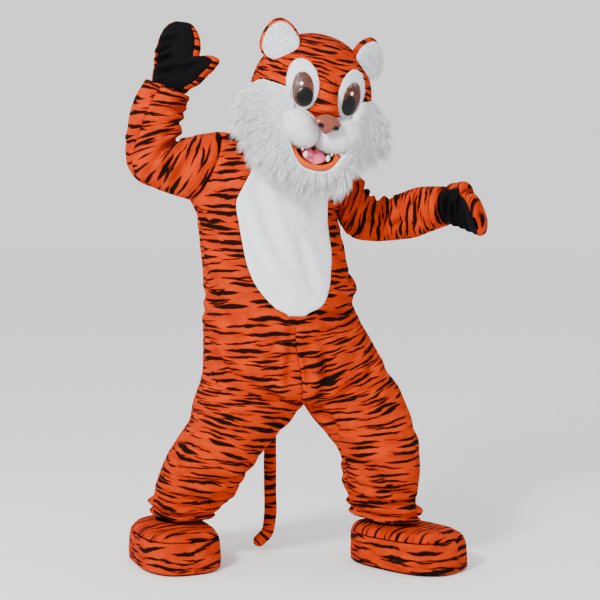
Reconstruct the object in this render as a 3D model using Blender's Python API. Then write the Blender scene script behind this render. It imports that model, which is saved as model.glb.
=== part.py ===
"""A tiger mascot costume: plush suit, mittens, boot covers, tail and foam head, worn with one arm up.

Metres, +Z up, and the costume faces -Y. Left and right are the wearer's, so left is +X. Heights in
the tables are above the floor; everything hangs on one empty that puts the origin at the neck.
"""

import math

import bmesh
import bpy
from mathutils import Matrix, Vector

# Driving dimensions
PLUSH = 0.004  # plush with its backing and nap
FOAM_PLUSH = 0.012  # plush over the foam of the head and the boots
SEAM = 0.0004  # gap between two pieces sewn together
PAD_GAP = 0.0015  # gap under a piece that lies on a faceted one
PANEL_STEPS = 6  # faces across a front, a back or half a sleeve
BELLY_STEPS = 3  # how many of the front's faces the belly takes
NECK = Vector((-0.030, -0.012, 1.462))  # middle of the neck opening: the wearer holds it up here
NECK_ACROSS = 0.088
NECK_DEEP = 0.082
NECK_TURN = 20.0  # degrees the shoulders turn to the wearer's left
NECK_TILT = 7.0

# The body, from the crotch up to the armpits. side: height at the side seams. middle: x of the
# section. half: half its width. front, back: depth to the centre seams. dip: how much lower the
# centre seams are. groove: how far the thighs stand in front of the centre seam. turn, tilt:
# degrees. belly: share of the front that the first columns take, from the centre seam.
BODY = (
    # side,  middle,  half, front,  back,   dip, groove, turn, tilt, belly
    (0.670, -0.016, 0.320, 0.072, 0.078, 0.094, 0.080, 12.0, 0.5, 0.46),
    (0.708, -0.022, 0.312, 0.122, 0.128, 0.104, 0.030, 14.0, 0.5, 0.40),
    (0.762, -0.036, 0.298, 0.148, 0.158, 0.090, 0.000, 16.0, 0.5, 0.33),
    (0.822, -0.053, 0.282, 0.156, 0.165, 0.080, 0.000, 17.0, 0.5, 0.24),
    (0.878, -0.068, 0.266, 0.160, 0.155, 0.065, 0.000, 20.0, 1.0, 0.14),
    (0.920, -0.068, 0.268, 0.160, 0.150, 0.049, 0.000, 22.0, 1.5, 0.07),
    (0.940, -0.066, 0.271, 0.160, 0.149, 0.050, 0.000, 22.0, 2.0, 0.17),
    (0.966, -0.067, 0.270, 0.161, 0.148, 0.046, 0.000, 22.0, 2.0, 0.26),
    (1.002, -0.075, 0.263, 0.162, 0.149, 0.040, 0.000, 22.0, 3.0, 0.34),
    (1.050, -0.085, 0.258, 0.163, 0.150, 0.029, 0.000, 23.0, 4.0, 0.40),
    (1.105, -0.092, 0.256, 0.165, 0.152, 0.018, 0.000, 24.0, 5.0, 0.435),
    (1.165, -0.103, 0.256, 0.167, 0.152, 0.012, 0.000, 25.0, 6.0, 0.45),
)
CHEST_BELLY = 0.455
BELLY_FROM = 5  # the row of BODY where the belly starts

# Each leg, from the crotch to the hem, at its inner and outer edge as the wearer stands.
# in_y, out_y: how far back the edges are. front, back: depth of the leg before and behind them.
LEG = {
    "left": (
        # in_x,  in_z, out_x, out_z,  in_y,  out_y, front,  back
        (0.010, 0.562, 0.313, 0.642, 0.012, 0.066, 0.128, 0.122),
        (0.050, 0.505, 0.350, 0.570, 0.004, 0.050, 0.132, 0.124),
        (0.100, 0.450, 0.376, 0.492, -0.006, 0.024, 0.132, 0.126),
        (0.140, 0.400, 0.392, 0.425, -0.010, 0.004, 0.130, 0.122),
        (0.155, 0.350, 0.398, 0.360, -0.004, 0.000, 0.124, 0.122),
        (0.158, 0.300, 0.398, 0.300, 0.012, 0.012, 0.120, 0.120),
        (0.166, 0.255, 0.394, 0.250, 0.032, 0.032, 0.114, 0.115),
        (0.184, 0.228, 0.388, 0.214, 0.047, 0.047, 0.106, 0.106),
        (0.171, 0.207, 0.413, 0.188, 0.055, 0.055, 0.125, 0.120),
        (0.188, 0.188, 0.395, 0.164, 0.060, 0.060, 0.108, 0.106),
        (0.176, 0.172, 0.409, 0.151, 0.062, 0.062, 0.120, 0.117),
        (0.190, 0.158, 0.398, 0.141, 0.064, 0.064, 0.108, 0.106),
    ),
    "right": (
        (0.010, 0.562, -0.338, 0.642, 0.012, -0.058, 0.136, 0.105),
        (-0.040, 0.505, -0.364, 0.568, 0.004, -0.040, 0.138, 0.118),
        (-0.094, 0.445, -0.378, 0.500, 0.000, -0.018, 0.136, 0.126),
        (-0.144, 0.380, -0.412, 0.452, 0.000, 0.000, 0.134, 0.126),
        (-0.186, 0.328, -0.452, 0.386, 0.012, 0.012, 0.130, 0.124),
        (-0.212, 0.282, -0.478, 0.326, 0.034, 0.034, 0.124, 0.120),
        (-0.230, 0.236, -0.500, 0.268, 0.062, 0.062, 0.118, 0.115),
        (-0.272, 0.200, -0.512, 0.222, 0.085, 0.085, 0.108, 0.106),
        (-0.282, 0.182, -0.533, 0.202, 0.095, 0.095, 0.125, 0.120),
        (-0.304, 0.170, -0.516, 0.182, 0.100, 0.100, 0.108, 0.106),
        (-0.297, 0.158, -0.529, 0.168, 0.102, 0.102, 0.120, 0.117),
        (-0.312, 0.148, -0.518, 0.153, 0.104, 0.104, 0.108, 0.106),
    ),
}
LEG_TURN = {"left": 22.0, "right": 12.0}

ARMPIT = {"left": Vector((0.124, 0.100, 1.200)), "right": Vector((-0.366, -0.095, 1.252))}
SHOULDER = {"left": Vector((0.140, 0.080, 1.408)), "right": Vector((-0.276, -0.084, 1.484))}
ARMHOLE_FRONT = 0.080
ARMHOLE_BACK = 0.072
ARMHOLE_SCOOP = 0.018  # how far the armhole curves in toward the chest

# Each sleeve, from the shoulder to the wrist, at its upper and under edge.
# y: how far back they are. deep: half its depth. roll: degrees its seams turn about it. turn:
# degrees its section turns to the wearer's left.
SLEEVE = {
    "left": (
        # up_x,   up_z, under_x, under_z,    y,  deep, roll, turn
        (0.196, 1.358, 0.140, 1.174, 0.086, 0.080, 0.0, 0.0),
        (0.217, 1.320, 0.158, 1.148, 0.088, 0.082, 0.0, 0.0),
        (0.236, 1.286, 0.182, 1.123, 0.084, 0.080, 0.0, 0.0),
        (0.252, 1.267, 0.234, 1.112, 0.074, 0.078, 4.0, 0.0),
        (0.296, 1.263, 0.288, 1.114, 0.055, 0.076, 8.0, 0.0),
        (0.346, 1.281, 0.345, 1.119, 0.032, 0.080, 12.0, -4.0),
        (0.399, 1.298, 0.396, 1.127, 0.010, 0.082, 14.0, -10.0),
        (0.446, 1.302, 0.450, 1.149, -0.010, 0.076, 16.0, -20.0),
        (0.493, 1.301, 0.500, 1.168, -0.030, 0.072, 18.0, -34.0),
    ),
    "right": (
        (-0.334, 1.472, -0.428, 1.272, -0.085, 0.088, 4.0, 0.0),
        (-0.374, 1.459, -0.488, 1.296, -0.085, 0.086, 12.0, 0.0),
        (-0.398, 1.450, -0.548, 1.326, -0.082, 0.084, 24.0, 0.0),
        (-0.404, 1.462, -0.577, 1.374, -0.080, 0.084, 40.0, 0.0),
        (-0.398, 1.490, -0.581, 1.428, -0.078, 0.084, 56.0, 0.0),
        (-0.394, 1.518, -0.576, 1.484, -0.075, 0.082, 66.0, 0.0),
        (-0.386, 1.546, -0.566, 1.542, -0.070, 0.080, 72.0, 0.0),
        (-0.376, 1.572, -0.546, 1.600, -0.066, 0.074, 76.0, 0.0),
        (-0.364, 1.597, -0.514, 1.658, -0.062, 0.070, 80.0, 0.0),
    ),
}

# A mitten laid flat, thumb to +x. along: distance from the cuff. outer, thumb: its two edges.
# thick: half its thickness.
MITTEN = (
    # along,  outer, thumb, thick
    (0.000, -0.048, 0.048, 0.034),
    (0.014, -0.056, 0.057, 0.039),
    (0.030, -0.066, 0.088, 0.044),
    (0.050, -0.074, 0.124, 0.043),
    (0.072, -0.078, 0.152, 0.042),
    (0.094, -0.080, 0.160, 0.041),
    (0.108, -0.080, 0.142, 0.041),
    (0.116, -0.080, 0.110, 0.041),
    (0.122, -0.080, 0.086, 0.040),
    (0.156, -0.077, 0.082, 0.037),
    (0.190, -0.068, 0.073, 0.032),
    (0.218, -0.050, 0.054, 0.022),
    (0.234, -0.024, 0.028, 0.007),
)
MITTEN_STEPS = 8
CUFF_WIDE = {"left": 1.0, "right": 1.25}  # how much the wider sleeve lets the cuff spread
CUFF_FADE = 0.060
THUMB_RISE = {"left": 0.75, "right": 0.30}  # how much the thumb points toward the fingers
THUMB_FROM = 0.050
PALM_EDGE = 0.080  # what reaches past it is thumb
PALM_INSET = 28.0  # degrees of its section that the palm's seams lie in from the mitten's edges
THUMB_ROW = 0.100  # a row that reaches past this holds the thumb
CURL_FROM = 0.045
THUMB_REACH = {"left": 0.40, "right": 1.0}  # a cupped hand holds its thumb closer
MITTEN_CURL = {"left": 66.0, "right": 8.0}

BOOT_LENGTH = 0.405
BOOT_WIDTH = 0.264
BOOT_PLACE = {"left": (0.371, 0.018, 50.0), "right": (-0.442, 0.040, 25.0)}  # x, y, degrees of turn
BOOT_STEPS = 28
BOOT_ROUND = 0.74  # 1 is an oval and 0 a rectangle
BOOT_TAPER = 0.13  # how much narrower the heel is than the toe
BOOT_SOLE = 0.008
BOOT_ANKLE = (0.072, 0.072)  # half length and half width of the opening
# From the middle of the boot to the opening's: to the wearer's left, and back.
BOOT_ANKLE_AT = {"left": (0.0, 0.074), "right": (0.035, 0.052)}
# Height and reach of the boot's wall, from the sole to the opening.
BOOT_SIDE = ((0.0085, 0.985), (0.030, 1.000), (0.060, 0.985), (0.088, 0.960), (0.104, 0.915))
BOOT_TOP = ((0.1042, 0.913), (0.117, 0.78), (0.124, 0.40), (0.128, 0.0))
BOOT_RIM = 0.970  # reach of the sole

TAIL_THICK = 0.0225
TAIL_PATH = (
    (-0.088, 0.196, 0.735),
    (-0.090, 0.226, 0.690),
    (-0.098, 0.228, 0.600),
    (-0.106, 0.214, 0.480),
    (-0.107, 0.205, 0.360),
    (-0.107, 0.203, 0.230),
    (-0.108, 0.202, 0.120),
    (-0.120, 0.200, 0.066),
    (-0.146, 0.198, 0.040),
)

HEAD = (
    Matrix.Translation((0.034, -0.048, 1.599))
    @ Matrix.Rotation(math.radians(16.0), 4, "Z")
    @ Matrix.Rotation(math.radians(10.0), 4, "Y")
    @ Matrix.Rotation(math.radians(8.0), 4, "X")
)
SKULL = Vector((0.205, 0.210, 0.210))  # half width, depth and height
HEAD_OPENING = -47.0  # degrees below its middle where the head ends
HEAD_ROWS = 9
HEAD_COLUMNS = 12

ORANGE = (0.62, 0.085, 0.012)
WHITE = (0.78, 0.78, 0.79)
BLACK = (0.006, 0.006, 0.007)
BROWN = (0.16, 0.055, 0.028)
NOSE_BROWN = (0.22, 0.07, 0.045)
DARK_RED = (0.085, 0.016, 0.012)
PINK = (0.80, 0.24, 0.28)
IVORY = (0.74, 0.70, 0.62)


def clear_scene():
    for obj in list(bpy.data.objects):
        bpy.data.objects.remove(obj, do_unlink=True)


def material(name, colour, roughness=0.95):
    made = bpy.data.materials.new(name)
    made.use_nodes = True
    shader = made.node_tree.nodes["Principled BSDF"]
    shader.inputs["Base Color"].default_value = (*colour, 1.0)
    shader.inputs["Roughness"].default_value = roughness
    shader.inputs["Metallic"].default_value = 0.0
    made.diffuse_color = (*colour, 1.0)
    return made


def place(obj, colour, roughness=0.95):
    """Link the object, give it a material of its own and hang it on the wearer's neck."""
    bpy.context.scene.collection.objects.link(obj)
    obj.data.materials.append(material(obj.name, colour, roughness))
    obj.parent = held
    return obj


def mesh_object(name, points, faces, colour, roughness=0.95):
    mesh = bpy.data.meshes.new(name)
    mesh.from_pydata([tuple(p) for p in points], [], faces)
    mesh.update()
    return place(bpy.data.objects.new(name, mesh), colour, roughness)


def ahead(turn):
    """The level direction that a section turned this many degrees to the wearer's left faces."""
    return Vector((math.sin(math.radians(turn)), -math.cos(math.radians(turn)), 0.0))


def across(turn, tilt=0.0):
    """From the wearer's right to the wearer's left, lower at the left by the tilt."""
    level = math.cos(math.radians(tilt))
    turned = math.radians(turn)
    return Vector(
        (math.cos(turned) * level, math.sin(turned) * level, -math.sin(math.radians(tilt)))
    )


def arc(start, start_pull, end_pull, end, shares):
    """Points of the cubic curve from start to end that leaves along one pull and arrives on the other."""
    first, second = start + start_pull, end + end_pull
    points = []
    for t in shares:
        s = 1.0 - t
        points.append(
            start * s**3 + first * (3 * s * s * t) + second * (3 * s * t * t) + end * t**3
        )
    return points


class Cloth:
    """Panels that share the points of their seams, so that their walls meet there in a mitre."""

    def __init__(self):
        self.points = []
        self.index = {}
        self.panels = {}

    def at(self, point):
        key = tuple(round(c * 1e5) for c in point)
        if key not in self.index:
            self.index[key] = len(self.points)
            self.points.append(Vector(point))
        return self.index[key]

    def add(self, name, grid, cells=None, flip=False):
        """The cells (row, column) of a grid of points become faces of the panel."""
        faces = self.panels.setdefault(name, [])
        if cells is None:
            cells = [(i, j) for i in range(len(grid) - 1) for j in range(len(grid[0]) - 1)]
        for i, j in cells:
            corners = (grid[i][j], grid[i][j + 1], grid[i + 1][j + 1], grid[i + 1][j])
            ids = list(dict.fromkeys(self.at(corner) for corner in corners))
            if len(ids) > 2:
                faces.append(ids[::-1] if flip else ids)

    def normals(self):
        sums = [Vector() for _ in self.points]
        for faces in self.panels.values():
            for face in faces:
                corners = [self.points[k] for k in face]
                normal = (corners[2] - corners[0]).cross(corners[-1] - corners[1])
                for k in face:
                    sums[k] += normal
        return [total.normalized() for total in sums]

    def build(self, colours, thickness):
        normals = self.normals()
        for name, faces in self.panels.items():
            self.build_panel(name, faces, normals, colours(name), thickness)

    def build_panel(self, name, faces, normals, colour, thickness):
        border = {}
        for face in faces:
            for a, b in zip(face, face[1:] + face[:1]):
                border[(a, b)] = True
        border = {(a, b) for a, b in border if (b, a) not in border}
        inward = {}
        for a, b in border:
            run = self.points[b] - self.points[a]
            for k in (a, b):
                step = normals[k].cross(run).normalized()
                inward[k] = inward.get(k, Vector()) + step
        used = sorted({k for face in faces for k in face})
        local = {k: n for n, k in enumerate(used)}
        outer, inner = [], []
        for k in used:
            point = self.points[k].copy()
            if k in inward:
                point += inward[k].normalized() * (SEAM * 0.62)
            outer.append(point)
            inner.append(point - normals[k] * thickness)
        count = len(used)
        made = []
        for face in faces:
            for a, b, c in triangles(face, self.points):
                made.append((local[a], local[b], local[c]))
                made.append((local[c] + count, local[b] + count, local[a] + count))
        for a, b in sorted(border):
            low, high = local[a], local[b]
            if tuple(self.points[a]) < tuple(self.points[b]):
                made += [(low, high + count, high), (low, low + count, high + count)]
            else:
                made += [(low, low + count, high), (high, low + count, high + count)]
        mesh_object(name, outer + inner, made, colour)


def triangles(face, points):
    """A face split along its shorter diagonal."""
    if len(face) == 3:
        return [tuple(face)]
    a, b, c, d = face
    if (points[a] - points[c]).length <= (points[b] - points[d]).length:
        return [(a, b, c), (a, c, d)]
    return [(a, b, d), (b, c, d)]


def shares(belly):
    """Where a front's columns lie across it, the first ones within the belly's share."""
    inside = [belly * k / BELLY_STEPS for k in range(BELLY_STEPS + 1)]
    left = PANEL_STEPS - BELLY_STEPS
    return inside + [belly + (1.0 - belly) * k / left for k in range(1, left + 1)]


EVEN = [k / PANEL_STEPS for k in range(PANEL_STEPS + 1)]


def leg_rows(side, facing):
    """A leg's rows from the hem to the crotch, from its inner seam to its outer seam."""
    rows = []
    for in_x, in_z, out_x, out_z, in_y, out_y, front, back in reversed(LEG[side]):
        deep = front if facing > 0 else back
        pull = ahead(LEG_TURN[side]) * (facing * deep * 4.0 / 3.0)
        inner, outer = Vector((in_x, in_y, in_z)), Vector((out_x, out_y, out_z))
        rows.append(arc(inner, pull, pull, outer, EVEN))
    return rows


def body_rows(side, facing):
    """A quarter of the body from the crotch to below the armpit, from centre seam to side seam."""
    sign = 1 if side == "left" else -1
    rows = []
    for height, middle, half, front, back, dip, groove, turn, tilt, belly in BODY:
        deep = front if facing > 0 else back
        face, side_way = ahead(turn) * facing, across(turn, tilt) * sign
        centre = Vector((middle, 0.0, height))
        seam = centre + face * deep - Vector((0.0, 0.0, dip))
        seam_pull = side_way * (0.5523 * half * (1.0 - groove * 6.0)) + face * groove
        edge_pull = face * (0.5523 * max(deep, 0.15) + groove * 0.5)
        split = shares(belly) if facing > 0 else EVEN
        rows.append(arc(seam, seam_pull, edge_pull, centre + side_way * half, split))
    return rows


def armhole(side):
    """The armhole's front and back edges, from the armpit to the shoulder."""
    low, high = ARMPIT[side], SHOULDER[side]
    sign = 1 if side == "left" else -1
    edges = []
    for facing, deep in ((1, ARMHOLE_FRONT), (-1, ARMHOLE_BACK)):
        edge = []
        for k in range(PANEL_STEPS + 1):
            angle = math.pi * k / PANEL_STEPS
            point = low.lerp(high, 0.5 - 0.5 * math.cos(angle))
            point = point + ahead(NECK_TURN) * (facing * deep * math.sin(angle))
            edge.append(point - across(NECK_TURN) * (sign * ARMHOLE_SCOOP * math.sin(angle)))
        edges.append(edge)
    return edges


def neck_point(angle):
    """A point of the neckline. 0 degrees is its front, 90 the wearer's left."""
    turned = math.radians(angle)
    point = NECK + ahead(NECK_TURN) * (NECK_DEEP * math.cos(turned))
    point += across(NECK_TURN, NECK_TILT) * (NECK_ACROSS * math.sin(turned))
    point.z -= 0.030 * max(0.0, math.cos(turned)) ** 2
    return point


def chest_seam(facing):
    """The centre seam from the armpits' height up to the neckline."""
    height, middle, half, front, back, dip, _, turn, _, _ = BODY[-1]
    deep = front if facing > 0 else back
    low = Vector((middle, 0.0, height - dip)) + ahead(turn) * facing * deep
    high = neck_point(0.0 if facing > 0 else 180.0)
    rise = high.z - low.z
    up = Vector((0.0, 0.0, rise * 0.55))
    over = ahead(NECK_TURN) * (facing * 0.075) - Vector((0.0, 0.0, rise * 0.12))
    return arc(low, up, over, high, (0.22, 0.40, 0.57, 0.77, 1.0))


def yoke_rows(side, facing):
    """A quarter of the chest or upper back, from the armpit's row to the shoulder seam."""
    sign = 1 if side == "left" else -1
    edge = armhole(side)[0 if facing > 0 else 1]
    seam = chest_seam(facing)
    neck_from = 0.0 if facing > 0 else 180.0
    seam += [neck_point(sign * (neck_from + (90.0 - neck_from) * share)) for share in (0.5, 1.0)]
    rows = []
    for k, (start, end) in enumerate(zip(seam, edge)):
        gap = (end - start).length
        blend = k / PANEL_STEPS
        flat = (end - start) * 0.33
        start_pull = (across(NECK_TURN, 6.0) * (sign * gap * 0.45)).lerp(flat, blend**2)
        round_pull = ahead(NECK_TURN) * (facing * gap * 0.36) - across(NECK_TURN) * (sign * gap * 0.10)
        end_pull = round_pull.lerp(-flat, min(1.0, blend * 1.15))
        split = shares(CHEST_BELLY + (0.5 - CHEST_BELLY) * blend) if facing > 0 else EVEN
        rows.append(arc(start, start_pull, end_pull, end, split))
    return rows


def sleeve_rows(side):
    """Rings of a sleeve from the armhole to the wrist: up its front, then down its back."""
    front, back = armhole(side)
    rings = [front + back[-2::-1]]
    for up_x, up_z, under_x, under_z, y, deep, roll, turn in SLEEVE[side]:
        under, upper = Vector((under_x, y, under_z)), Vector((up_x, y, up_z))
        middle, half = (under + upper) / 2, (upper - under) / 2
        ring = []
        for k in range(2 * PANEL_STEPS + 1):
            angle = math.pi * (k % (2 * PANEL_STEPS)) / PANEL_STEPS + math.radians(roll)
            ring.append(middle - half * math.cos(angle) + ahead(turn) * (deep * math.sin(angle)))
        rings.append(ring)
    return rings


def build_suit():
    cloth = Cloth()
    first_yoke = len(LEG["left"]) + len(BODY)
    neck_row = first_yoke + 4
    belly_rows = range(len(LEG["left"]) + BELLY_FROM, neck_row)
    for side in ("left", "right"):
        for facing, face_name in ((1, "front"), (-1, "back")):
            grid = leg_rows(side, facing) + body_rows(side, facing) + yoke_rows(side, facing)
            cells = [(i, j) for i in range(len(grid) - 1) for j in range(PANEL_STEPS)]
            inset = [
                (i, j) for i, j in cells if facing > 0 and i in belly_rows and j < BELLY_STEPS
            ]
            outward = (side == "left") == (facing > 0)
            cloth.add(f"{face_name}_{side}", grid, [c for c in cells if c not in inset], not outward)
            if inset:
                cloth.add("belly", grid, inset, not outward)
        rings = sleeve_rows(side)
        halves = {"front": range(PANEL_STEPS), "back": range(PANEL_STEPS, 2 * PANEL_STEPS)}
        for half_name, columns in halves.items():
            cells = [(i, j) for i in range(len(rings) - 1) for j in columns]
            cloth.add(f"sleeve_{side}_{half_name}", rings, cells, side == "left")
    cloth.build(lambda name: WHITE if name == "belly" else ORANGE, PLUSH)


def mitten_point(side, row, facing, way):
    """A point of a mitten's palm, for facing 1, or back, for -1. way: 0 at its outer seam, 1 at
    its thumb's. The back wraps round the edges to the palm's side, -y."""
    along, outer, thumb, thick = row
    wrap = facing * math.radians(PALM_INSET)
    angle = wrap + (math.pi - 2.0 * wrap) * way
    share = -math.cos(angle)
    spread = 1.0 + (CUFF_WIDE[side] - 1.0) * max(0.0, 1.0 - along / CUFF_FADE)
    outer *= spread
    thumb = min(thumb, PALM_EDGE) * spread + max(0.0, thumb - PALM_EDGE) * THUMB_REACH[side]
    x = (outer + thumb) / 2 + share * (thumb - outer) / 2
    rise = THUMB_RISE[side] * (1.0 if row[2] > THUMB_ROW else 0.4)
    along += rise * max(0.0, x - THUMB_FROM)
    half = thick * math.sqrt(max(0.0, 1.0 - abs(share) ** 2.4))
    y = -facing * math.copysign(half, math.sin(angle))
    if along <= CURL_FROM:
        return Vector((x, y, along))
    radius = (MITTEN[-1][0] - CURL_FROM) / math.radians(MITTEN_CURL[side])
    curl = (along - CURL_FROM) / radius
    reach = radius + y
    return Vector((x, reach * math.cos(curl) - radius, CURL_FROM + reach * math.sin(curl)))


def mitten_frame(side):
    if side == "right":
        wrist = Vector((-0.433, -0.062, 1.616))
        fingers, thumb = Vector((0.20, 0.02, 0.98)), Vector((0.90, -0.42, -0.17))
    else:
        wrist = Vector((0.487, -0.030, 1.231))
        fingers, thumb = Vector((0.72, -0.68, -0.03)), Vector((-0.20, -0.50, 0.84))
    fingers.normalize()
    thumb = (thumb - fingers * thumb.dot(fingers)).normalized()
    palm = thumb.cross(fingers) if side == "right" else fingers.cross(thumb)
    return wrist, thumb, -palm, fingers


def build_mitten(side):
    cloth = Cloth()
    wrist, thumb, back, fingers = mitten_frame(side)
    for facing, piece in ((1, "palm"), (-1, "back")):
        grid = []
        for row in MITTEN:
            line = []
            for k in range(MITTEN_STEPS + 1):
                p = mitten_point(side, row, facing, k / MITTEN_STEPS)
                line.append(wrist + thumb * p.x + back * p.y + fingers * p.z)
            grid.append(line)
        cloth.add(f"mitten_{side}_{piece}", grid, None, (facing < 0) == (side == "right"))
    cloth.build(lambda name: BLACK if name.endswith("palm") else ORANGE, PLUSH)


def boot_outline(side, reach, height):
    """A ring of the boot: reach 1 is its widest outline and 0 is the ankle opening."""
    ring = []
    ankle_x, ankle_y = BOOT_ANKLE_AT[side]
    for k in range(BOOT_STEPS):
        angle = math.tau * k / BOOT_STEPS
        c, s = math.cos(angle), math.sin(angle)
        length = math.copysign(abs(c) ** BOOT_ROUND, c) * BOOT_LENGTH / 2
        width = math.copysign(abs(s) ** BOOT_ROUND, s) * BOOT_WIDTH / 2
        width *= 1.0 - BOOT_TAPER * (0.5 - length / BOOT_LENGTH)
        outside = Vector((width, -length, height))
        hole = Vector((ankle_x + BOOT_ANKLE[1] * s, ankle_y - BOOT_ANKLE[0] * c, height))
        ring.append(hole.lerp(outside, reach))
    return ring + ring[:1]


def build_boot(side):
    x, y, turn = BOOT_PLACE[side]
    frame = Matrix.Translation((x, y, 0.0)) @ Matrix.Rotation(math.radians(turn), 4, "Z")
    profiles = {"side": BOOT_SIDE, "top": BOOT_TOP}
    cloth = Cloth()
    for piece, profile in profiles.items():
        grid = []
        for height, reach in profile:
            grid.append([frame @ p for p in boot_outline(side, reach, height)])
        cloth.add(f"boot_{side}_{piece}", grid, None, True)
    cloth.build(lambda name: ORANGE, FOAM_PLUSH)
    rim = [frame @ p for p in boot_outline(side, BOOT_RIM, 0.0)[:-1]]
    lifted = [p + Vector((0.0, 0.0, BOOT_SOLE)) for p in rim]
    count = len(rim)
    faces = [tuple(range(count - 1, -1, -1)), tuple(range(count, 2 * count))]
    for k in range(count):
        after = (k + 1) % count
        faces.append((k, after, after + count, k + count))
    mesh_object(f"boot_{side}_sole", rim + lifted, faces, BLACK, 0.8)


def tube(name, path, radius, colour, roughness=0.95, sides=10):
    """A round tube along the path, with a rounded end at each side."""
    rings = []
    last = len(path) - 1
    side_way = Vector((0.0, 1.0, 0.0))
    for k, point in enumerate(path):
        run = (path[min(last, k + 1)] - path[max(0, k - 1)]).normalized()
        side_way = (side_way - run * side_way.dot(run)).normalized()
        other = run.cross(side_way)
        spread = [radius]
        shift = [0.0]
        if k in (0, last):
            spread, shift = [radius * 0.55, radius], [radius * 0.62, 0.0]
        order = list(zip(spread, shift))
        for reach, beyond in order if k == 0 else order[::-1]:
            middle = point + run * (beyond if k else -beyond)
            ring = []
            for n in range(sides):
                angle = math.tau * n / sides
                ring.append(middle + (side_way * math.cos(angle) + other * math.sin(angle)) * reach)
            rings.append(ring)
    points = [p for ring in rings for p in ring]
    faces = [tuple(range(sides)), tuple(range(len(points) - 1, len(points) - sides - 1, -1))]
    for k in range(len(rings) - 1):
        for n in range(sides):
            a, b = k * sides + n, k * sides + (n + 1) % sides
            faces.append((a, b, b + sides, a + sides))
    return facing_out(mesh_object(name, points, faces, colour, roughness))


def skull_point(turn, rise, lift=0.0):
    """A point of the skull, lift above it. turn: degrees from straight ahead. rise: degrees up."""
    t, r = math.radians(turn), math.radians(rise)
    way = Vector((math.sin(t) * math.cos(r), -math.cos(t) * math.cos(r), math.sin(r)))
    reach = 1.0 / Vector((way.x / SKULL.x, way.y / SKULL.y, way.z / SKULL.z)).length
    return way * (reach + lift)


def skull_front(x, z):
    """y of the skull's front at this place, or of its middle beyond its outline."""
    left = 1.0 - (x / SKULL.x) ** 2 - (z / SKULL.z) ** 2
    return -SKULL.y * math.sqrt(max(0.0, left))


def build_skull():
    cloth = Cloth()
    for piece, start in (("front", -90.0), ("back", 90.0)):
        grid = []
        for i in range(HEAD_ROWS + 1):
            rise = HEAD_OPENING + (90.0 - HEAD_OPENING) * i / HEAD_ROWS
            row = []
            for j in range(HEAD_COLUMNS + 1):
                row.append(HEAD @ skull_point(start + 180.0 * j / HEAD_COLUMNS, rise))
            grid.append(row)
        cloth.add(f"head_{piece}", grid)
    cloth.build(lambda name: ORANGE, FOAM_PLUSH)


def ball(name, middle, half, colour, roughness=0.95, turn=(0, 0, 0), steps=(20, 12)):
    """An ellipsoid in the head's own directions. steps: round it, and from pole to pole."""
    spin = Matrix.Identity(4)
    for axis, angle in zip("XYZ", turn):
        spin = Matrix.Rotation(math.radians(angle), 4, axis) @ spin
    where = HEAD @ Matrix.Translation(middle) @ spin @ Matrix.Diagonal((*half, 1.0))
    mesh = bpy.data.meshes.new(name)
    shape = bmesh.new()
    bmesh.ops.create_uvsphere(shape, u_segments=steps[0], v_segments=steps[1], radius=1.0)
    bmesh.ops.transform(shape, matrix=where, verts=shape.verts)
    shape.to_mesh(mesh)
    shape.free()
    return place(bpy.data.objects.new(name, mesh), colour, roughness)


def box(name, middle, side):
    """A cube in the head's own directions."""
    mesh = bpy.data.meshes.new(name)
    shape = bmesh.new()
    bmesh.ops.create_cube(shape, size=side)
    bmesh.ops.transform(shape, matrix=HEAD @ Matrix.Translation(middle), verts=shape.verts)
    shape.to_mesh(mesh)
    shape.free()
    return place(bpy.data.objects.new(name, mesh), WHITE)


def facing_out(obj):
    shape = bmesh.new()
    shape.from_mesh(obj.data)
    bmesh.ops.recalc_face_normals(shape, faces=shape.faces)
    shape.to_mesh(obj.data)
    shape.free()
    return obj


def cutter(obj):
    obj.hide_render = True
    obj.display_type = "WIRE"
    return obj


def cut(obj, *tools):
    for tool in tools:
        change = obj.modifiers.new(tool.name, "BOOLEAN")
        change.operation = "DIFFERENCE"
        change.solver = "EXACT"
        change.object = tool
    return obj


def pad(name, rows, colour, roughness=0.95):
    """A closed pad. Each row is a list of (front point, back point), in the head's directions."""
    count = len(rows[0])
    points = []
    for row in rows:
        points += [HEAD @ front for front, _ in row]
    behind = len(points)
    for row in rows:
        points += [HEAD @ back for _, back in row]
    faces = []
    last = len(rows) - 1
    for i in range(last):
        for j in range(count - 1):
            a, b = i * count + j, (i + 1) * count + j
            faces.append((a, a + 1, b + 1, b))
            faces.append((behind + b, behind + b + 1, behind + a + 1, behind + a))
    for i in range(last):
        for j, flip in ((0, False), (count - 1, True)):
            a, b = i * count + j, (i + 1) * count + j
            face = (a, b, b + behind, a + behind)
            faces.append(face[::-1] if flip else face)
    for j in range(count - 1):
        for i, flip in ((0, True), (last, False)):
            a = i * count + j
            face = (a, a + 1, a + 1 + behind, a + behind)
            faces.append(face if not flip else face[::-1])
    return facing_out(mesh_object(name, points, faces, colour, roughness))


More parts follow.
